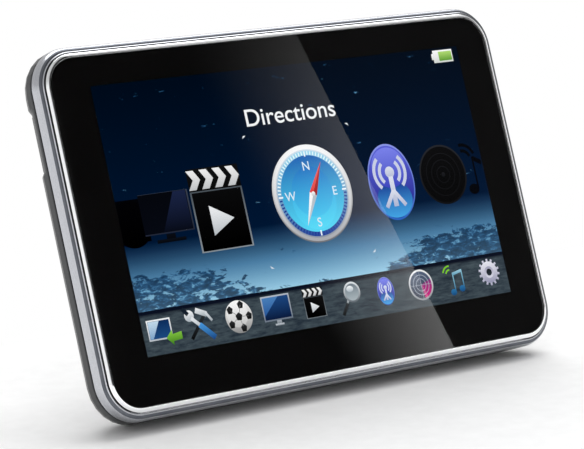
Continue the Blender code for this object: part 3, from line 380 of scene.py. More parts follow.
# The sky fades from a glow over the water, through mist and dusk, to night at the top. Each fade is
# drawn in even steps, so that it looks even to the eye.
SKY = ((-18.0, "99cce6"), (-12.0, "4d80a6"), (-5.0, "001633"), (27.0, "000a1a"))
FADE_STEPS = 4
picture, tree, shader = blank("lit_night_scene")
point, axes = screen_place(tree)
LOWEST, HIGHEST = SKY[0][0], SKY[-1][0]
rise = add(
    tree,
    "ShaderNodeMapRange",
    {"From Min": LOWEST, "From Max": HIGHEST},
    {"Value": axes["Z"]},
)
sky_stops = []
for (low, tone), (high, next_tone) in zip(SKY, SKY[1:]):
    for step in range(FADE_STEPS):
        share = step / FADE_STEPS
        place = (low + (high - low) * share - LOWEST) / (HIGHEST - LOWEST)
        sky_stops.append((place, between(tone, next_tone, share)))
sky_stops.append((1.0, SKY[-1][1]))
sky = ramp(tree, rise.outputs["Result"], sky_stops)
# Grasses: a dark bank in both lower corners, broken into clumps along its edge, with pale flecks of
# water between the blades.
low_reeds = add(tree, "ShaderNodeMapping", {"Scale": (0.6, 1, 1.5)}, {"Vector": point})
blades = add(
    tree,
    "ShaderNodeTexNoise",
    {"Scale": 0.42, "Detail": 8.0, "Roughness": 0.7, "Distortion": 0.4},
    {"Vector": low_reeds.outputs["Vector"]},
)
away = add(tree, "ShaderNodeMath", links={0: axes["X"]}, operation="ABSOLUTE")
bank = add(
    tree,
    "ShaderNodeMapRange",
    {"From Min": 12.0, "From Max": 30.0, "To Min": -19.0, "To Max": -11.0},
    {"Value": away.outputs[0]},
)
under = add(tree, "ShaderNodeMath", links={0: bank.outputs[0], 1: axes["Z"]}, operation="SUBTRACT")
depth_in = add(
    tree,
    "ShaderNodeMapRange",
    {"From Min": -2.0, "From Max": 3.0, "To Min": -0.14, "To Max": 0.13},
    {"Value": under.outputs[0]},
)
thick = add(
    tree,
    "ShaderNodeMath",
    links={0: depth_in.outputs[0], 1: blades.outputs["Fac"]},
    operation="ADD",
)
grown = add(
    tree,
    "ShaderNodeMapRange",
    {"From Min": 0.52, "From Max": 0.54, "To Max": 0.9},
    {"Value": thick.outputs[0]},
)
flecks = add(
    tree,
    "ShaderNodeTexNoise",
    {"Scale": 0.75, "Detail": 4.0, "Roughness": 0.65, "Distortion": 0.6},
    {"Vector": low_reeds.outputs["Vector"]},
)
GRASS = ((0.36, "0b2440"), (0.5, "16395c"), (0.58, "2a5a84"), (0.66, "6ba4c8"))
grass_tone = ramp(tree, flecks.outputs["Fac"], GRASS)
scene_colour = add(
    tree,
    "ShaderNodeMix",
    links={0: grown.outputs[0], 6: sky, 7: grass_tone},
    data_type="RGBA",
)
lamp(tree, shader, scene_colour.outputs[2])
drawing = bmesh.new()
made = bmesh.ops.create_grid(drawing, x_segments=2, y_segments=2, size=1.0)["verts"]
bmesh.ops.scale(drawing, vec=(WINDOW[0] + SPILL, WINDOW[1] + SPILL, 1), verts=made)
hang("lit_picture", drawing, picture)

# Dock: a slate strip along the bottom like rippled water, darker at its upper edge.
DOCK_TOP = -18.1
DOCK_LINE = 0.8
strip, tree, shader = blank("lit_dock")
point, axes = screen_place(tree)
squeezed = add(tree, "ShaderNodeMapping", {"Scale": (0.35, 1, 1.6)}, {"Vector": point})
ripple = add(
    tree,
    "ShaderNodeTexNoise",
    {"Scale": 0.7, "Detail": 5.0, "Roughness": 0.7},
    {"Vector": squeezed.outputs["Vector"]},
)
water = ramp(tree, ripple.outputs["Fac"], ((0.35, "242f3a"), (0.65, "48555c")))
lower = add(
    tree,
    "ShaderNodeMapRange",
    {"From Min": DOCK_TOP - DOCK_LINE - 0.5, "From Max": DOCK_TOP - DOCK_LINE + 0.2},
    {"Value": axes["Z"]},
)
edge_tone = add(tree, "ShaderNodeRGB")
edge_tone.outputs[0].default_value = linear("0a1020")
dock_colour = add(
    tree,
    "ShaderNodeMix",
    links={0: lower.outputs[0], 6: water, 7: edge_tone.outputs[0]},
    data_type="RGBA",
)
lamp(tree, shader, dock_colour.outputs[2])
drawing = bmesh.new()
made = bmesh.ops.create_grid(drawing, x_segments=2, y_segments=2, size=0.5)["verts"]
dock_height = WINDOW[1] + DOCK_TOP + SPILL
bmesh.ops.scale(drawing, vec=(2 * (WINDOW[0] + SPILL), dock_height, 1), verts=made)
bmesh.ops.translate(drawing, vec=(0, DOCK_TOP - dock_height / 2, LEVEL), verts=made)
hang("lit_dock_strip", drawing, strip)


# Signs on the display. Each sign is drawn in flat shapes that lie a few microns over one another,
# and every shape fades from its top colour to its bottom colour. Places are in mm from the middle.

lit_signs, tree, shader = blank("lit_signs")
shades = add(tree, "ShaderNodeAttribute", attribute_name="shade")
lamp(tree, shader, shades.outputs["Color"])
art = None
shade = None


def start_sign(mesh=None):
    """Opens a new drawing for the shapes that follow."""
    global art, shade
    art = bmesh.new()
    if mesh:
        art.from_mesh(mesh)
    shade = art.loops.layers.float_color.new("shade")


def tint(faces, top, bottom):
    """Shades faces from the colour at their top to the colour at their bottom."""
    heights = [v.co.y for face in faces for v in face.verts]
    low, span = min(heights), max(max(heights) - min(heights), 1e-6)
    high_tone, low_tone = Vector(linear(top)), Vector(linear(bottom))
    for face in faces:
        face.normal_update()
        if face.normal.z < 0:
            face.normal_flip()
        for loop in face.loops:
            loop[shade] = low_tone.lerp(high_tone, (loop.vert.co.y - low) / span)


def disc(u, v, radius, level, top, bottom, tall=1.0, steps=48):
    """A round or oval shape."""
    place = Matrix.Translation((u, v, level * LEVEL)) @ Matrix.Diagonal((1, tall, 1, 1))
    made = bmesh.ops.create_circle(art, cap_ends=True, segments=steps, radius=radius, matrix=place)
    tint({face for vert in made["verts"] for face in vert.link_faces}, top, bottom)


def patch(points, level, top, bottom):
    """A shape with straight sides."""
    corners = [art.verts.new((u, v, level * LEVEL)) for u, v in points]
    tint([art.faces.new(corners)], top, bottom)


def plate(u, v, width, height, level, top, bottom):
    """An upright rectangle about a point."""
    right, up = width / 2, height / 2
    points = [(u - right, v - up), (u + right, v - up), (u + right, v + up), (u - right, v + up)]
    patch(points, level, top, bottom)


def stroke(start, end, width, level, top, bottom):
    """A straight stroke of one width."""
    start, end = Vector(start), Vector(end)
    side = (end - start).orthogonal().normalized() * width / 2
    patch([start - side, end - side, end + side, start + side], level, top, bottom)


def arc(u, v, radius, width, low, high, level, colour, steps=8):
    """A curved stroke between two angles in degrees."""
    angles = [radians(low + (high - low) * step / steps) for step in range(steps + 1)]
    for a, b in zip(angles, angles[1:]):
        inner, outer = radius - width / 2, radius + width / 2
        corners = ((inner, a), (outer, a), (outer, b), (inner, b))
        patch([(u + r * cos(t), v + r * sin(t)) for r, t in corners], level, colour, colour)


def finish_sign(name):
    """Hangs the drawing on the screen."""
    hang(name, art, lit_signs)


def lettering(name, words, u, v, size, width, level, colour, weight=0.0):
    """Upright words as a flat mesh, centred on a point, and drawn out to a width unless it is 0."""
    curve = bpy.data.curves.new(name, "FONT")
    curve.body = words
    curve.size = size
    curve.offset = weight
    written = bpy.data.objects.new(name + "_curve", curve)
    bpy.context.scene.collection.objects.link(written)
    mesh = bpy.data.meshes.new_from_object(written)
    bpy.data.objects.remove(written)
    start_sign(mesh)
    bpy.data.meshes.remove(mesh)
    low = [min(vert.co[axis] for vert in art.verts) for axis in (0, 1)]
    high = [max(vert.co[axis] for vert in art.verts) for axis in (0, 1)]
    stretch = width / (high[0] - low[0]) if width else 1.0
    bmesh.ops.translate(art, vec=(-(low[0] + high[0]) / 2, 0, 0), verts=art.verts)
    bmesh.ops.scale(art, vec=(stretch, 1, 1), verts=art.verts)
    bmesh.ops.translate(art, vec=(u, v, level * LEVEL), verts=art.verts)
    tint(art.faces, colour, colour)
    finish_sign(name)


# Heading, in a plain menu word, with the four small marks that frame the chosen sign.
lettering("lit_heading", "Directions", -0.4, 15.3, 5.0, 23.2, 2, "f4f6f8", 0.03)
start_sign()
for u, v in ((-13.6, 13.5), (13.6, 13.5), (-13.5, -13.9), (13.6, -13.9)):
    side, up = (1 if u > 0 else -1), (1 if v > 0 else -1)
    corners = [(u, v), (u - side * 0.7, v), (u + side * 0.25, v - up * 0.6)]
    patch(corners, 1, "f0f4f8", "c8d4e0")
finish_sign("lit_frame_marks")

# Compass: a silver ring, a scale of ticks, a blue dial and a red and white needle.
COMPASS = (0.8, 0.0)
start_sign()
disc(*COMPASS, 10.2, 1, "fbfcfd", "6d6e73", steps=72)
disc(*COMPASS, 9.9, 2, "ffffff", "a9abb0", steps=72)
disc(*COMPASS, 9.2, 3, "d6e6f2", "8d96a6", steps=72)
disc(*COMPASS, 8.9, 4, "9fdcf4", "123f9c", steps=72)
for step in range(72):
    around = radians(5 * step)
    way = Vector((sin(around), cos(around)))
    high_side = cos(around) > 0
    tick_tone = "e9fbff" if high_side else "0f3590"
    tick_start = Vector(COMPASS) + way * 8.05
    stroke(tick_start, tick_start + way * 0.75, 0.3, 5, tick_tone, tick_tone)
disc(*COMPASS, 7.95, 6, "1460b4", "55dcfc", steps=72)
disc(COMPASS[0], COMPASS[1] - 1.8, 5.6, 7, "2c9ade", "58e0fd", steps=48)
disc(COMPASS[0], COMPASS[1] + 0.4, 5.2, 8, "1c74c4", "48c8f4", steps=48)
for way in ((-1, 0), (1, 0), (0, -1), (0, 1)):
    mark = Vector(COMPASS) + Vector(way) * 7.7
    stroke(mark, mark + Vector(way) * 1.1, 0.35, 9, "f2faff", "f2faff")
NEEDLE = Vector((0.9, -0.1))
RED_TIP = Vector((4.5, 6.3))
WHITE_TIP = Vector((-2.2, -6.5))
across = (RED_TIP - WHITE_TIP).orthogonal().normalized() * 0.95
patch([NEEDLE + across, RED_TIP, NEEDLE], 11, "f46a60", "e23a38")
patch([NEEDLE - across, NEEDLE, RED_TIP], 11, "c02828", "9c1418")
patch([NEEDLE + across, NEEDLE, WHITE_TIP], 11, "ffffff", "f0f4f6")
patch([NEEDLE - across, WHITE_TIP, NEEDLE], 11, "b4bec6", "c8d2da")
disc(*NEEDLE, 0.5, 12, "ffffff", "c0c8ce", steps=20)
finish_sign("lit_compass")
for letter, u, v in (("N", 0.5, 4.9), ("S", 1.0, -6.9), ("W", -5.0, -0.9), ("E", 6.6, -0.9)):
    lettering("lit_compass_" + letter, letter, u, v, 2.6, 0, 10, "dceefa", 0.02)


# Clapperboard, for films: a black slate under a bar of chevrons.
def clapperboard(u, v, width, height, bar, level):
    """Draws the slate and its bar about a point, with a play mark."""
    top, left = v + height / 2, u - width / 2
    slate = height - bar
    middle = top - height + slate / 2
    plate(u, middle, width, slate, level, "4d555c", "878f96")
    plate(u, middle, width - 0.045 * height, slate - 0.03 * height, level + 1, "0a0a0b", "000000")
    plate(u, top - bar / 2, width, bar, level, "101112", "0a0a0a")
    step = width / 4
    for number in range(4):
        x = left + number * step
        low, mid, high = top - bar * 0.93, top - bar / 2, top - bar * 0.07
        lean, thick = step * 0.42, step * 0.56
        points = [(x, high), (x + thick, high), (x + thick + lean, mid), (x + thick, low)]
        patch([*points, (x, low), (x + lean, mid)], level + 1, "f4f4f4", "c4c6c8")
    reach = 0.18 * height
    back = u - reach * 0.85
    play = [(back, middle + reach), (u + reach, middle), (back, middle - reach)]
    patch(play, level + 3, "f4f6f8", "b8bec4")


start_sign()
clapperboard(-23.0, -0.2, 12.9, 16.9, 4.6, 1)
finish_sign("lit_film_sign")


# Blue oval: a glassy button with a mast and waves, for wireless links.
def link_sign(u, v, size, level):
    """Draws the oval, its gloss, and a mast that sends waves to both sides."""
    disc(u, v, size, level, "8c98ea", "2c66c4", 1.33)
    disc(u, v, size * 0.95, level + 1, "5a60d8", "0b1280", 1.33)
    disc(u, v - size * 0.6, size * 0.76, level + 2, "131c8c", "44a6e8", 0.85)
    disc(u, v + size * 0.5, size * 0.74, level + 3, "7c84ee", "3c46c0", 0.95)
    tones = ("e2e6f4", "b4bcd8")
    stroke((u, v - size * 0.85), (u, v + size * 0.2), size * 0.2, level + 5, *tones)
    disc(u, v + size * 0.34, size * 0.2, level + 5, *tones, steps=24)
    stroke((u, v - size * 0.3), (u - size * 0.42, v - size * 0.85), size * 0.15, level + 5, *tones)
    stroke((u, v - size * 0.3), (u + size * 0.42, v - size * 0.85), size * 0.15, level + 5, *tones)
    for radius in (0.44, 0.68):
        for side in (0, 180):
            spread = (side - 48, side + 48)
            place = (u, v + size * 0.34, size * radius, size * 0.13)
            arc(*place, *spread, level + 5, "cdd3ea")


start_sign()
link_sign(21.9, 0.0, 6.1, 1)
finish_sign("lit_link_sign")

# Signs further round the carousel are almost black: a radar dish, a note, a screen and a camera.
start_sign()
disc(36.2, 0.0, 6.4, 1, "23252b", "0d0e11")
disc(36.2, 0.0, 6.0, 2, "0a0a0c", "050506")
for ring in (4.6, 3.2, 1.8):
    disc(36.2, 0.0, ring, 8 - ring, "1b1c20", "141518")
    disc(36.2, 0.0, ring - 0.12, 8.2 - ring, "08080a", "050506")
disc(36.2, 0.0, 0.5, 9, "1b1c20", "141518")
finish_sign("lit_far_radar_sign")
start_sign()
disc(43.9, -4.0, 1.4, 1, "02040a", "010207", 0.8)
stroke((45.1, -4.0), (45.1, 2.9), 0.45, 1, "02040a", "010207")
stroke((45.1, 2.6), (47.4, 1.4), 1.0, 1, "02040a", "010207")
arc(42.6, 2.4, 2.0, 0.7, 20, 100, 1, "02040a")
arc(42.6, 2.4, 3.3, 0.7, 20, 100, 1, "02040a")
finish_sign("lit_far_note_sign")
start_sign()
plate(-44.3, -0.4, 7.0, 8.6, 1, "020306", "000001")
disc(-44.6, -1.0, 4.7, 2, "020204", "000000")
plate(-36.0, 0.4, 12.0, 8.2, 3, "3a4150", "222838")
plate(-36.2, 0.5, 11.7, 7.9, 4, "05070d", "060912")
patch([(-30.5, 4.4), (-33.5, 4.4), (-37.5, -3.4), (-30.5, -3.4)], 5, "1a2444", "080c18")
plate(-36.0, -4.3, 2.2, 1.0, 3, "0a0d14", "06080e")
plate(-36.0, -5.1, 7.0, 0.7, 3, "0c1018", "06080e")
finish_sign("lit_far_screen_sign")

# Battery gauge.
start_sign()
plate(43.3, 25.15, 5.4, 2.7, 1, "ffffff", "d8dcd8")
plate(40.4, 25.15, 0.5, 1.3, 1, "ffffff", "d8dcd8")
plate(43.95, 25.15, 3.6, 2.0, 2, "b4e074", "5c9c30")
finish_sign("lit_battery_sign")

# Dock signs, left to right.
start_sign()
plate(-43.4, -22.0, 5.7, 4.1, 2, "f0f3f6", "b8c0c8")
plate(-43.4, -22.0, 5.1, 3.5, 3, "0c2c5c", "1c4a80")
patch([(-45.9, -20.3), (-43.2, -20.3), (-45.2, -23.7), (-45.9, -23.7)], 4, "c4dcee", "7ca4cc")
points = [(-42.2, -23.9), (-40.6, -22.4), (-40.6, -23.3), (-38.4, -23.0)]
patch([*points, (-38.4, -24.5), (-40.6, -24.7), (-40.6, -25.5)], 5, "8cd048", "2c7010")
finish_sign("lit_dock_transfer")
start_sign()
stroke((-32.2, -20.6), (-36.2, -25.0), 0.75, 2, "2a2e32", "08090a")
stroke((-34.2, -19.5), (-31.6, -20.6), 1.1, 3, "f4f7f9", "98a2aa")
stroke((-31.9, -20.2), (-30.6, -22.0), 0.55, 3, "e4e8ec", "98a2aa")
disc(-35.9, -20.4, 1.15, 4, "f6f8fa", "aab4bc", steps=24)
stroke((-36.1, -20.1), (-37.3, -18.8), 0.85, 5, "16202c", "16202c")
stroke((-35.5, -20.9), (-33.6, -22.6), 0.75, 5, "eef2f5", "b4bec6")
stroke((-33.8, -22.4), (-30.6, -25.4), 1.15, 6, "4a9ae0", "123c7c")
finish_sign("lit_dock_tools")
start_sign()
BALL = Vector((-24.0, -22.2))
disc(*BALL, 3.3, 2, "fbfbfa", "8a8a8a")
disc(BALL.x - 0.3, BALL.y + 0.5, 2.6, 3, "ffffff", "c4c4c3")
for step in range(5):
    around = radians(72 * step + 20)
    spot = BALL + Vector((sin(around), cos(around))) * 2.45
    disc(*spot, 0.8, 4, "2c2e30", "0c0c0c", 1.1, 5)
    stroke(BALL, spot, 0.12, 4, "8c8c8c", "6c6c6c")
disc(*BALL, 0.9, 5, "2c2e30", "0c0c0c", steps=5)
finish_sign("lit_dock_ball")
start_sign()
plate(-14.4, -21.7, 7.2, 5.1, 2, "b4bcc8", "6c7888")
plate(-14.4, -21.7, 6.6, 4.5, 3, "1c4680", "0a1a3c")
patch([(-17.7, -19.45), (-13.6, -19.45), (-17.7, -23.2)], 4, "4a80bc", "245498")
plate(-14.4, -24.6, 1.2, 0.7, 2, "a4acb4", "7c848c")
plate(-14.4, -25.1, 2.2, 0.4, 2, "ccd4dc", "747c84")
finish_sign("lit_dock_screen")
start_sign()
clapperboard(-4.8, -22.0, 5.2, 6.1, 1.8, 2)
finish_sign("lit_dock_film")
start_sign()
stroke((3.8, -23.2), (2.0, -25.6), 0.75, 2, "303438", "08090a")
stroke((4.2, -22.4), (3.6, -23.3), 0.5, 3, "ccd2d6", "7c848a")
disc(5.3, -21.2, 2.15, 4, "e0e6ea", "59626a")
disc(5.3, -21.2, 1.75, 5, "6c7a84", "aab6bc")
disc(4.9, -20.5, 0.9, 6, "f6fafc", "a4b2bc", 0.7)
finish_sign("lit_dock_search")
start_sign()
link_sign(14.1, -22.2, 2.2, 2)
finish_sign("lit_dock_link")
start_sign()
DIAL = Vector((23.7, -22.2))
SECTOR = 2.85
disc(*DIAL, 3.25, 2, "f0f2f4", "8c9298")
disc(*DIAL, SECTOR, 3, "56647c", "2c3448")
sweep = [radians(degrees) for degrees in range(-80, 21, 10)]
sector = [DIAL + SECTOR * Vector((cos(turn), sin(turn))) for turn in sweep]
patch([DIAL, *sector], 4, "7c2c78", "d82c84")
for ring in (2.1, 1.3):
    arc(*DIAL, ring, 0.12, 0, 360, 6, "b4bcc8", 24)
for arm in (Vector((2.8, 0)), Vector((0, 2.8))):
    stroke(DIAL - arm, DIAL + arm, 0.1, 6, "a4acb8", "a4acb8")
finish_sign("lit_dock_radar")
start_sign()
disc(32.1, -24.9, 0.8, 2, "2c74a8", "14487c", 0.85, 20)
disc(34.6, -24.4, 0.8, 2, "2c74a8", "14487c", 0.85, 20)
stroke((32.7, -24.8), (32.7, -20.9), 0.28, 2, "8cc8dc", "2c6c98")
stroke((35.2, -24.3), (35.2, -20.4), 0.28, 2, "8cc8dc", "2c6c98")
stroke((32.6, -21.1), (35.3, -20.6), 0.6, 3, "a4d4e4", "5c9cbc")
arc(32.0, -21.2, 1.1, 0.35, 85, 160, 3, "7cc82c")
arc(32.0, -21.2, 1.9, 0.35, 85, 160, 3, "7cc82c")
finish_sign("lit_dock_music")
start_sign()
GEAR = Vector((42.8, -22.0))
for step in range(14):
    around = radians(360 * step / 14)
    way = Vector((sin(around), cos(around)))
    stroke(GEAR + way * 1.8, GEAR + way * 2.85, 0.5, 2, "dcdcec", "a4a4bc")
disc(*GEAR, 2.3, 3, "ececf6", "9494b0")
disc(*GEAR, 1.25, 4, "a0a0b8", "dcdcea")
disc(*GEAR, 0.75, 5, "141a20", "2c343c", steps=24)
finish_sign("lit_dock_settings")


# Rear shell. The back, sides, top and bottom are one moulding in PC-ABS with a gunmetal finish,
# whose fine spark-eroded texture breaks up the light.


def coat(name, material):
    """Gives a carried-over node its one material."""
    slots = nodes[name].data.materials
    slots.clear()
    slots.append(material)


gunmetal = surface(
    "gunmetal_pc_abs", "15171b", "212428", 0.25, 0.004, (0.34, 0.46), 0.45, Coat_Weight=0.15
)
coat("rear_shell", gunmetal)


# Everything else keeps its solid shape, inside the case and on its edges: the card, the boards, the
# display stack, the battery, the speaker, the sockets and the screws. Each piece gets the finish of
# its own stuff, so the steel is bright, the mouldings are dull and the films are warm in tone.

rolled_steel = surface(
    "rolled_tinplate", "a9adb2", "c6cacd", 0.4, 0.003, (0.22, 0.4), 1.0, (1, 1, 9)
)
machined_steel = surface(
    "zinc_plated_screw_steel", "9fa4aa", "c9cdd2", 0.2, 0.002, (0.2, 0.35), 1.0
)
black_abs = surface("black_moulded_abs", "131416", "202124", 0.3, 0.006, (0.42, 0.58))
nylon = surface("ivory_nylon_housing", "dcd8cc", "ebe8de", 0.5, 0.004, (0.4, 0.55))
mask = surface("green_solder_mask", "144c2c", "1f6a3c", 1.2, 0.01, (0.25, 0.4), Coat_Weight=0.4)
polyimide = surface("amber_polyimide_film", "a3611a", "c47f2a", 0.8, 0.003, (0.3, 0.45))
fired_ceramic = surface("fired_antenna_ceramic", "bfb18e", "d6caab", 0.35, 0.006, (0.5, 0.7))
pouch_foil = surface("laminated_pouch_foil", "b9bdc2", "d5d8db", 2.5, 0.03, (0.28, 0.45), 0.85)
pressed_paper = surface("pressed_paper_cone", "1f1d1a", "302c28", 0.15, 0.01, (0.8, 0.95))
foam = surface("closed_cell_foam", "121314", "1f2022", 0.2, 0.03, (0.85, 0.98))
copper_wire = surface("enamelled_copper_wire", "a2602a", "c67e42", 0.2, 0.01, (0.25, 0.4), 1.0)
red_pvc = surface("red_pvc_insulation", "a51b18", "bd2a25", 0.5, 0.003, (0.35, 0.5))
black_pvc = surface("black_pvc_insulation", "141414", "222222", 0.5, 0.003, (0.35, 0.5))
panel_glass = surface("panel_glass", "0c2c58", "123a6e", 3.0, 0.001, (0.1, 0.2))
light_pipe = surface(
    "clear_acrylic_pipe", "e4ecf2", "f2f6f9", 1.0, 0.001, (0.1, 0.2), Transmission_Weight=0.8
)
button_plate = surface("satin_chrome_key", "c4c7cb", "dcdfe2", 0.6, 0.002, (0.14, 0.24), 1.0)
FINISHES = {
    rolled_steel: "lcd_backlight mid_chassis gps_shield_can backup_cell usb_socket microphone "
    "micro_sd_socket power_switch reset_switch speaker_magnet",
    machined_steel: "case_screw_1 case_screw_2 case_screw_3 case_screw_4 board_screw_1 "
    "board_screw_2 board_screw_3",
    black_abs: "processor_chip memory_chip flash_chip usb_tongue headphone_socket micro_sd_card "
    "power_switch_plunger speaker_frame",
    nylon: "lcd_flex_connector touch_flex_connector charge_led reset_plunger battery_socket "
    "battery_plug",
    mask: "main_board battery_board",
    polyimide: "lcd_flex touch_flex",
    fired_ceramic: "gps_patch_antenna",
    pouch_foil: "battery_pack",
    pressed_paper: "speaker_cone",
    foam: "glass_gasket battery_pad speaker_gasket speaker_mesh",
    copper_wire: "speaker_voice_coil",
    red_pvc: "battery_lead_red",
    black_pvc: "battery_lead_black speaker_lead_1 speaker_lead_2",
    panel_glass: "lcd_panel",
    light_pipe: "charge_light_pipe",
    button_plate: "power_button",
}
for finish, names in FINISHES.items():
    for name in names.split():
        coat(name, finish)


# Stage. The navigator leans back on its lower rear edge. The model stands upright instead, so the
# pale paper falls away in front of it and climbs behind it, before it levels out on both sides.

LEAN = radians(19.5)
TOUCH_Y = 3.585
TOUCH_Z = 0.229
CLIMB_TO = 75.0
FALL_TO = -90.0
EASE = 18.0
PAPER_WIDTH = 5.0
PAPER_REACH = 3000
PAPER_CURVE = range(-124, 125, 4)
paper = surface("pale_paper_sweep", "f4f4f4", "f9f9f9", 4.0, 0.01, (0.85, 0.95))


def lean_height(y):
    """Height of the leaning part of the paper, in mm."""
    return TOUCH_Z + (y - TOUCH_Y) * sin(LEAN) / cos(LEAN)


def held(y, limit):
    """A place along the paper, eased so that it stays at a limit once past it."""
    past = min(max(y - limit + EASE, 0.0), 2 * EASE)
    return min(y, limit + EASE) - past * past / (4 * EASE)


builder = bmesh.new()
line = []
for y in (-PAPER_REACH, *PAPER_CURVE, PAPER_REACH):
    height = lean_height(-held(-held(y, CLIMB_TO), -FALL_TO))
    line.append(builder.verts.new((-PAPER_WIDTH / 2, y * MM, height * MM)))
edges = [builder.edges.new(pair) for pair in zip(line, line[1:])]
swept = bmesh.ops.extrude_edge_only(builder, edges=edges)["geom"]
far_side = [v for v in swept if isinstance(v, bmesh.types.BMVert)]
bmesh.ops.translate(builder, vec=(PAPER_WIDTH, 0, 0), verts=far_side)
bmesh.ops.recalc_face_normals(builder, faces=builder.faces)
if sum(face.normal.z for face in builder.faces) < 0:
    bmesh.ops.reverse_faces(builder, faces=builder.faces)
floor_mesh = bpy.data.meshes.new("paper_sweep")
builder.to_mesh(floor_mesh)
builder.free()
floor_mesh.materials.append(paper)
floor_mesh.shade_smooth()
floor = bpy.data.objects.new("paper_sweep", floor_mesh)
bpy.context.scene.collection.objects.link(floor)


# Camera, low and to the left of the screen, with a long lens. It is rolled, because the navigator
# leans. It aims at a point that is given in mm from the middle of the lit picture.

LENS = 183.2
SENSOR = 36.0
HEADING = radians(37.86)
RISE = radians(4.62)
ROLL = radians(12.27)
DISTANCE = 605.0
AIM = Vector((-3.4, 3.4, -5.3))
forward = Vector((sin(HEADING) * cos(RISE), cos(HEADING) * cos(RISE), sin(RISE)))
level = Vector((cos(HEADING), -sin(HEADING), 0))
upward = level.cross(forward) * cos(ROLL) + level * sin(ROLL)
rightward = forward.cross(upward)
middle = Vector((SCREEN_X, FRONT + PICTURE_DEPTH * MM, SCREEN_Z))
eye = middle + (AIM - forward * DISTANCE) * MM
lens = bpy.data.cameras.new("camera")
lens.lens = LENS
lens.sensor_width = SENSOR
lens.clip_start = 0.01
camera = bpy.data.objects.new("camera", lens)
turned = Matrix((rightward, upward, -forward)).transposed().to_4x4()
camera.matrix_world = Matrix.Translation(eye) @ turned
bpy.context.scene.collection.objects.link(camera)
bpy.context.scene.camera = camera
bpy.context.scene.view_settings.view_transform = "Standard"


# Light. The studio is white all round and greyer overhead, with a dark flag in front of the screen,
# so the glass reads black. A tilted softbox beside it lays one slanting sheen across the glass.

FLAG_DARK = 0.03
FLAG_EDGE = (radians(46), radians(34))
CEILING = 0.6
CEILING_EDGE = (0.22, 0.42)
FLAG_WAY = Vector((0.61, -0.79, 0.08)).normalized()
world = bpy.data.worlds.new("studio")
bpy.context.scene.world = world
world.use_nodes = True
tree = world.node_tree
way = add(tree, "ShaderNodeTexCoord")
height = add(tree, "ShaderNodeSeparateXYZ", links={"Vector": way.outputs["Generated"]})
ceiling = add(
    tree,
    "ShaderNodeMapRange",
    {"From Min": CEILING_EDGE[0], "From Max": CEILING_EDGE[1], "To Min": 1.0, "To Max": CEILING},
    {"Value": height.outputs["Z"]},
    interpolation_type="SMOOTHSTEP",
)
facing = add(
    tree,
    "ShaderNodeVectorMath",
    {1: FLAG_WAY},
    {0: way.outputs["Generated"]},
    operation="DOT_PRODUCT",
)
flagged = add(
    tree,
    "ShaderNodeMapRange",
    {
        "From Min": cos(FLAG_EDGE[0]),
        "From Max": cos(FLAG_EDGE[1]),
        "To Min": 1.0,
        "To Max": FLAG_DARK,
    },
    {"Value": facing.outputs["Value"]},
    interpolation_type="SMOOTHSTEP",
)
seen = add(
    tree,
    "ShaderNodeMath",
    links={0: flagged.outputs[0], 1: ceiling.outputs[0]},
    operation="MULTIPLY",
)
backdrop = tree.nodes["Background"]
tree.links.new(seen.outputs[0], backdrop.inputs["Strength"])
backdrop.inputs["Color"].default_value = linear("ffffff")


def hang_light(name, kind, place, aim, strength, **properties):
    """Adds a light that shines from a place to an aim."""
    light = bpy.data.lights.new(name, kind)
    light.energy = strength
    for key, value in properties.items():
        setattr(light, key, value)
    made = bpy.data.objects.new(name, light)
    made.location = place
    made.rotation_euler = (Vector(aim) - Vector(place)).to_track_quat("-Z", "Y").to_euler()
    bpy.context.scene.collection.objects.link(made)


# The key is broad and stands high on the right, a little behind the screen, so the navigator throws
# one soft shadow to the left and a short one in front.
hang_light("key", "SUN", (0.42, 0.1, 1.0), (0, 0, 0), 2.1, angle=radians(55))

# The card brightens the rim's right side and corners.
hang_light("right_card", "AREA", (0.92, -0.61, 1.05), (0, 0, 0.04), 0.9, size=0.7)

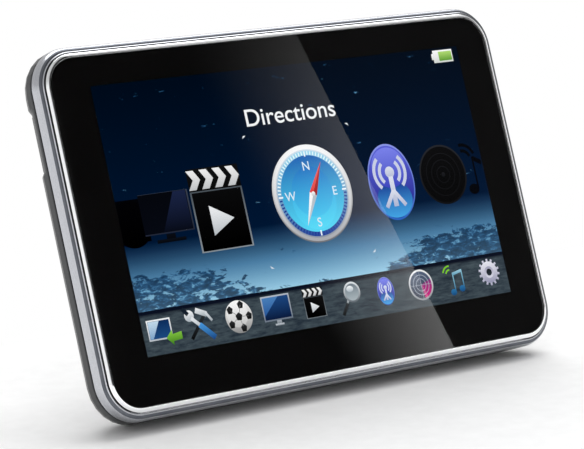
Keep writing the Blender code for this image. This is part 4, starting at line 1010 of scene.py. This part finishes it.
# The softbox stands 1.5 m in front. Its slanting edge and its falloff are in its own material.
BOX_Y = -1.5
BOX_EDGE_X = 1.203
BOX_EDGE_Z = 0.347
BOX_SLANT = 0.337
BOX_FADE = 0.125
FADE_POWER = 1.7
BOX_OUTLINE = ((0.95, -0.25), (1.405, -0.25), (1.169, 0.45), (0.95, 0.45))
diffuser, tree, shader = blank("softbox_diffuser")
place = add(tree, "ShaderNodeTexCoord")
axes = add(tree, "ShaderNodeSeparateXYZ", links={"Vector": place.outputs["Object"]})
edge = add(
    tree,
    "ShaderNodeMath",
    {1: -BOX_SLANT, 2: BOX_EDGE_X + BOX_SLANT * BOX_EDGE_Z},
    {0: axes.outputs["Z"]},
    operation="MULTIPLY_ADD",
)
inside = add(
    tree, "ShaderNodeMath", links={0: edge.outputs[0], 1: axes.outputs["X"]}, operation="SUBTRACT"
)
fade = add(
    tree,
    "ShaderNodeMapRange",
    {"From Min": 0.0, "From Max": BOX_FADE, "To Min": 1.0, "To Max": 0.0},
    {"Value": inside.outputs[0]},
)
softened = add(tree, "ShaderNodeMath", {1: FADE_POWER}, {0: fade.outputs[0]}, operation="POWER")
strength = add(
    tree,
    "ShaderNodeMapRange",
    {"From Min": 0.36, "From Max": 0.04, "To Min": 0.3, "To Max": 2.1},
    {"Value": axes.outputs["Z"]},
)
glow = add(
    tree,
    "ShaderNodeMath",
    links={0: softened.outputs[0], 1: strength.outputs[0]},
    operation="MULTIPLY",
)
shader.inputs["Base Color"].default_value = linear("000000")
shader.inputs["Specular IOR Level"].default_value = 0.0
shader.inputs["Emission Color"].default_value = linear("ffffff")
tree.links.new(glow.outputs[0], shader.inputs["Emission Strength"])
builder = bmesh.new()
builder.faces.new([builder.verts.new((x, BOX_Y, z)) for x, z in BOX_OUTLINE])
box_mesh = bpy.data.meshes.new("tilted_softbox")
builder.to_mesh(box_mesh)
builder.free()
box_mesh.materials.append(diffuser)
softbox = bpy.data.objects.new("tilted_softbox", box_mesh)
bpy.context.scene.collection.objects.link(softbox)
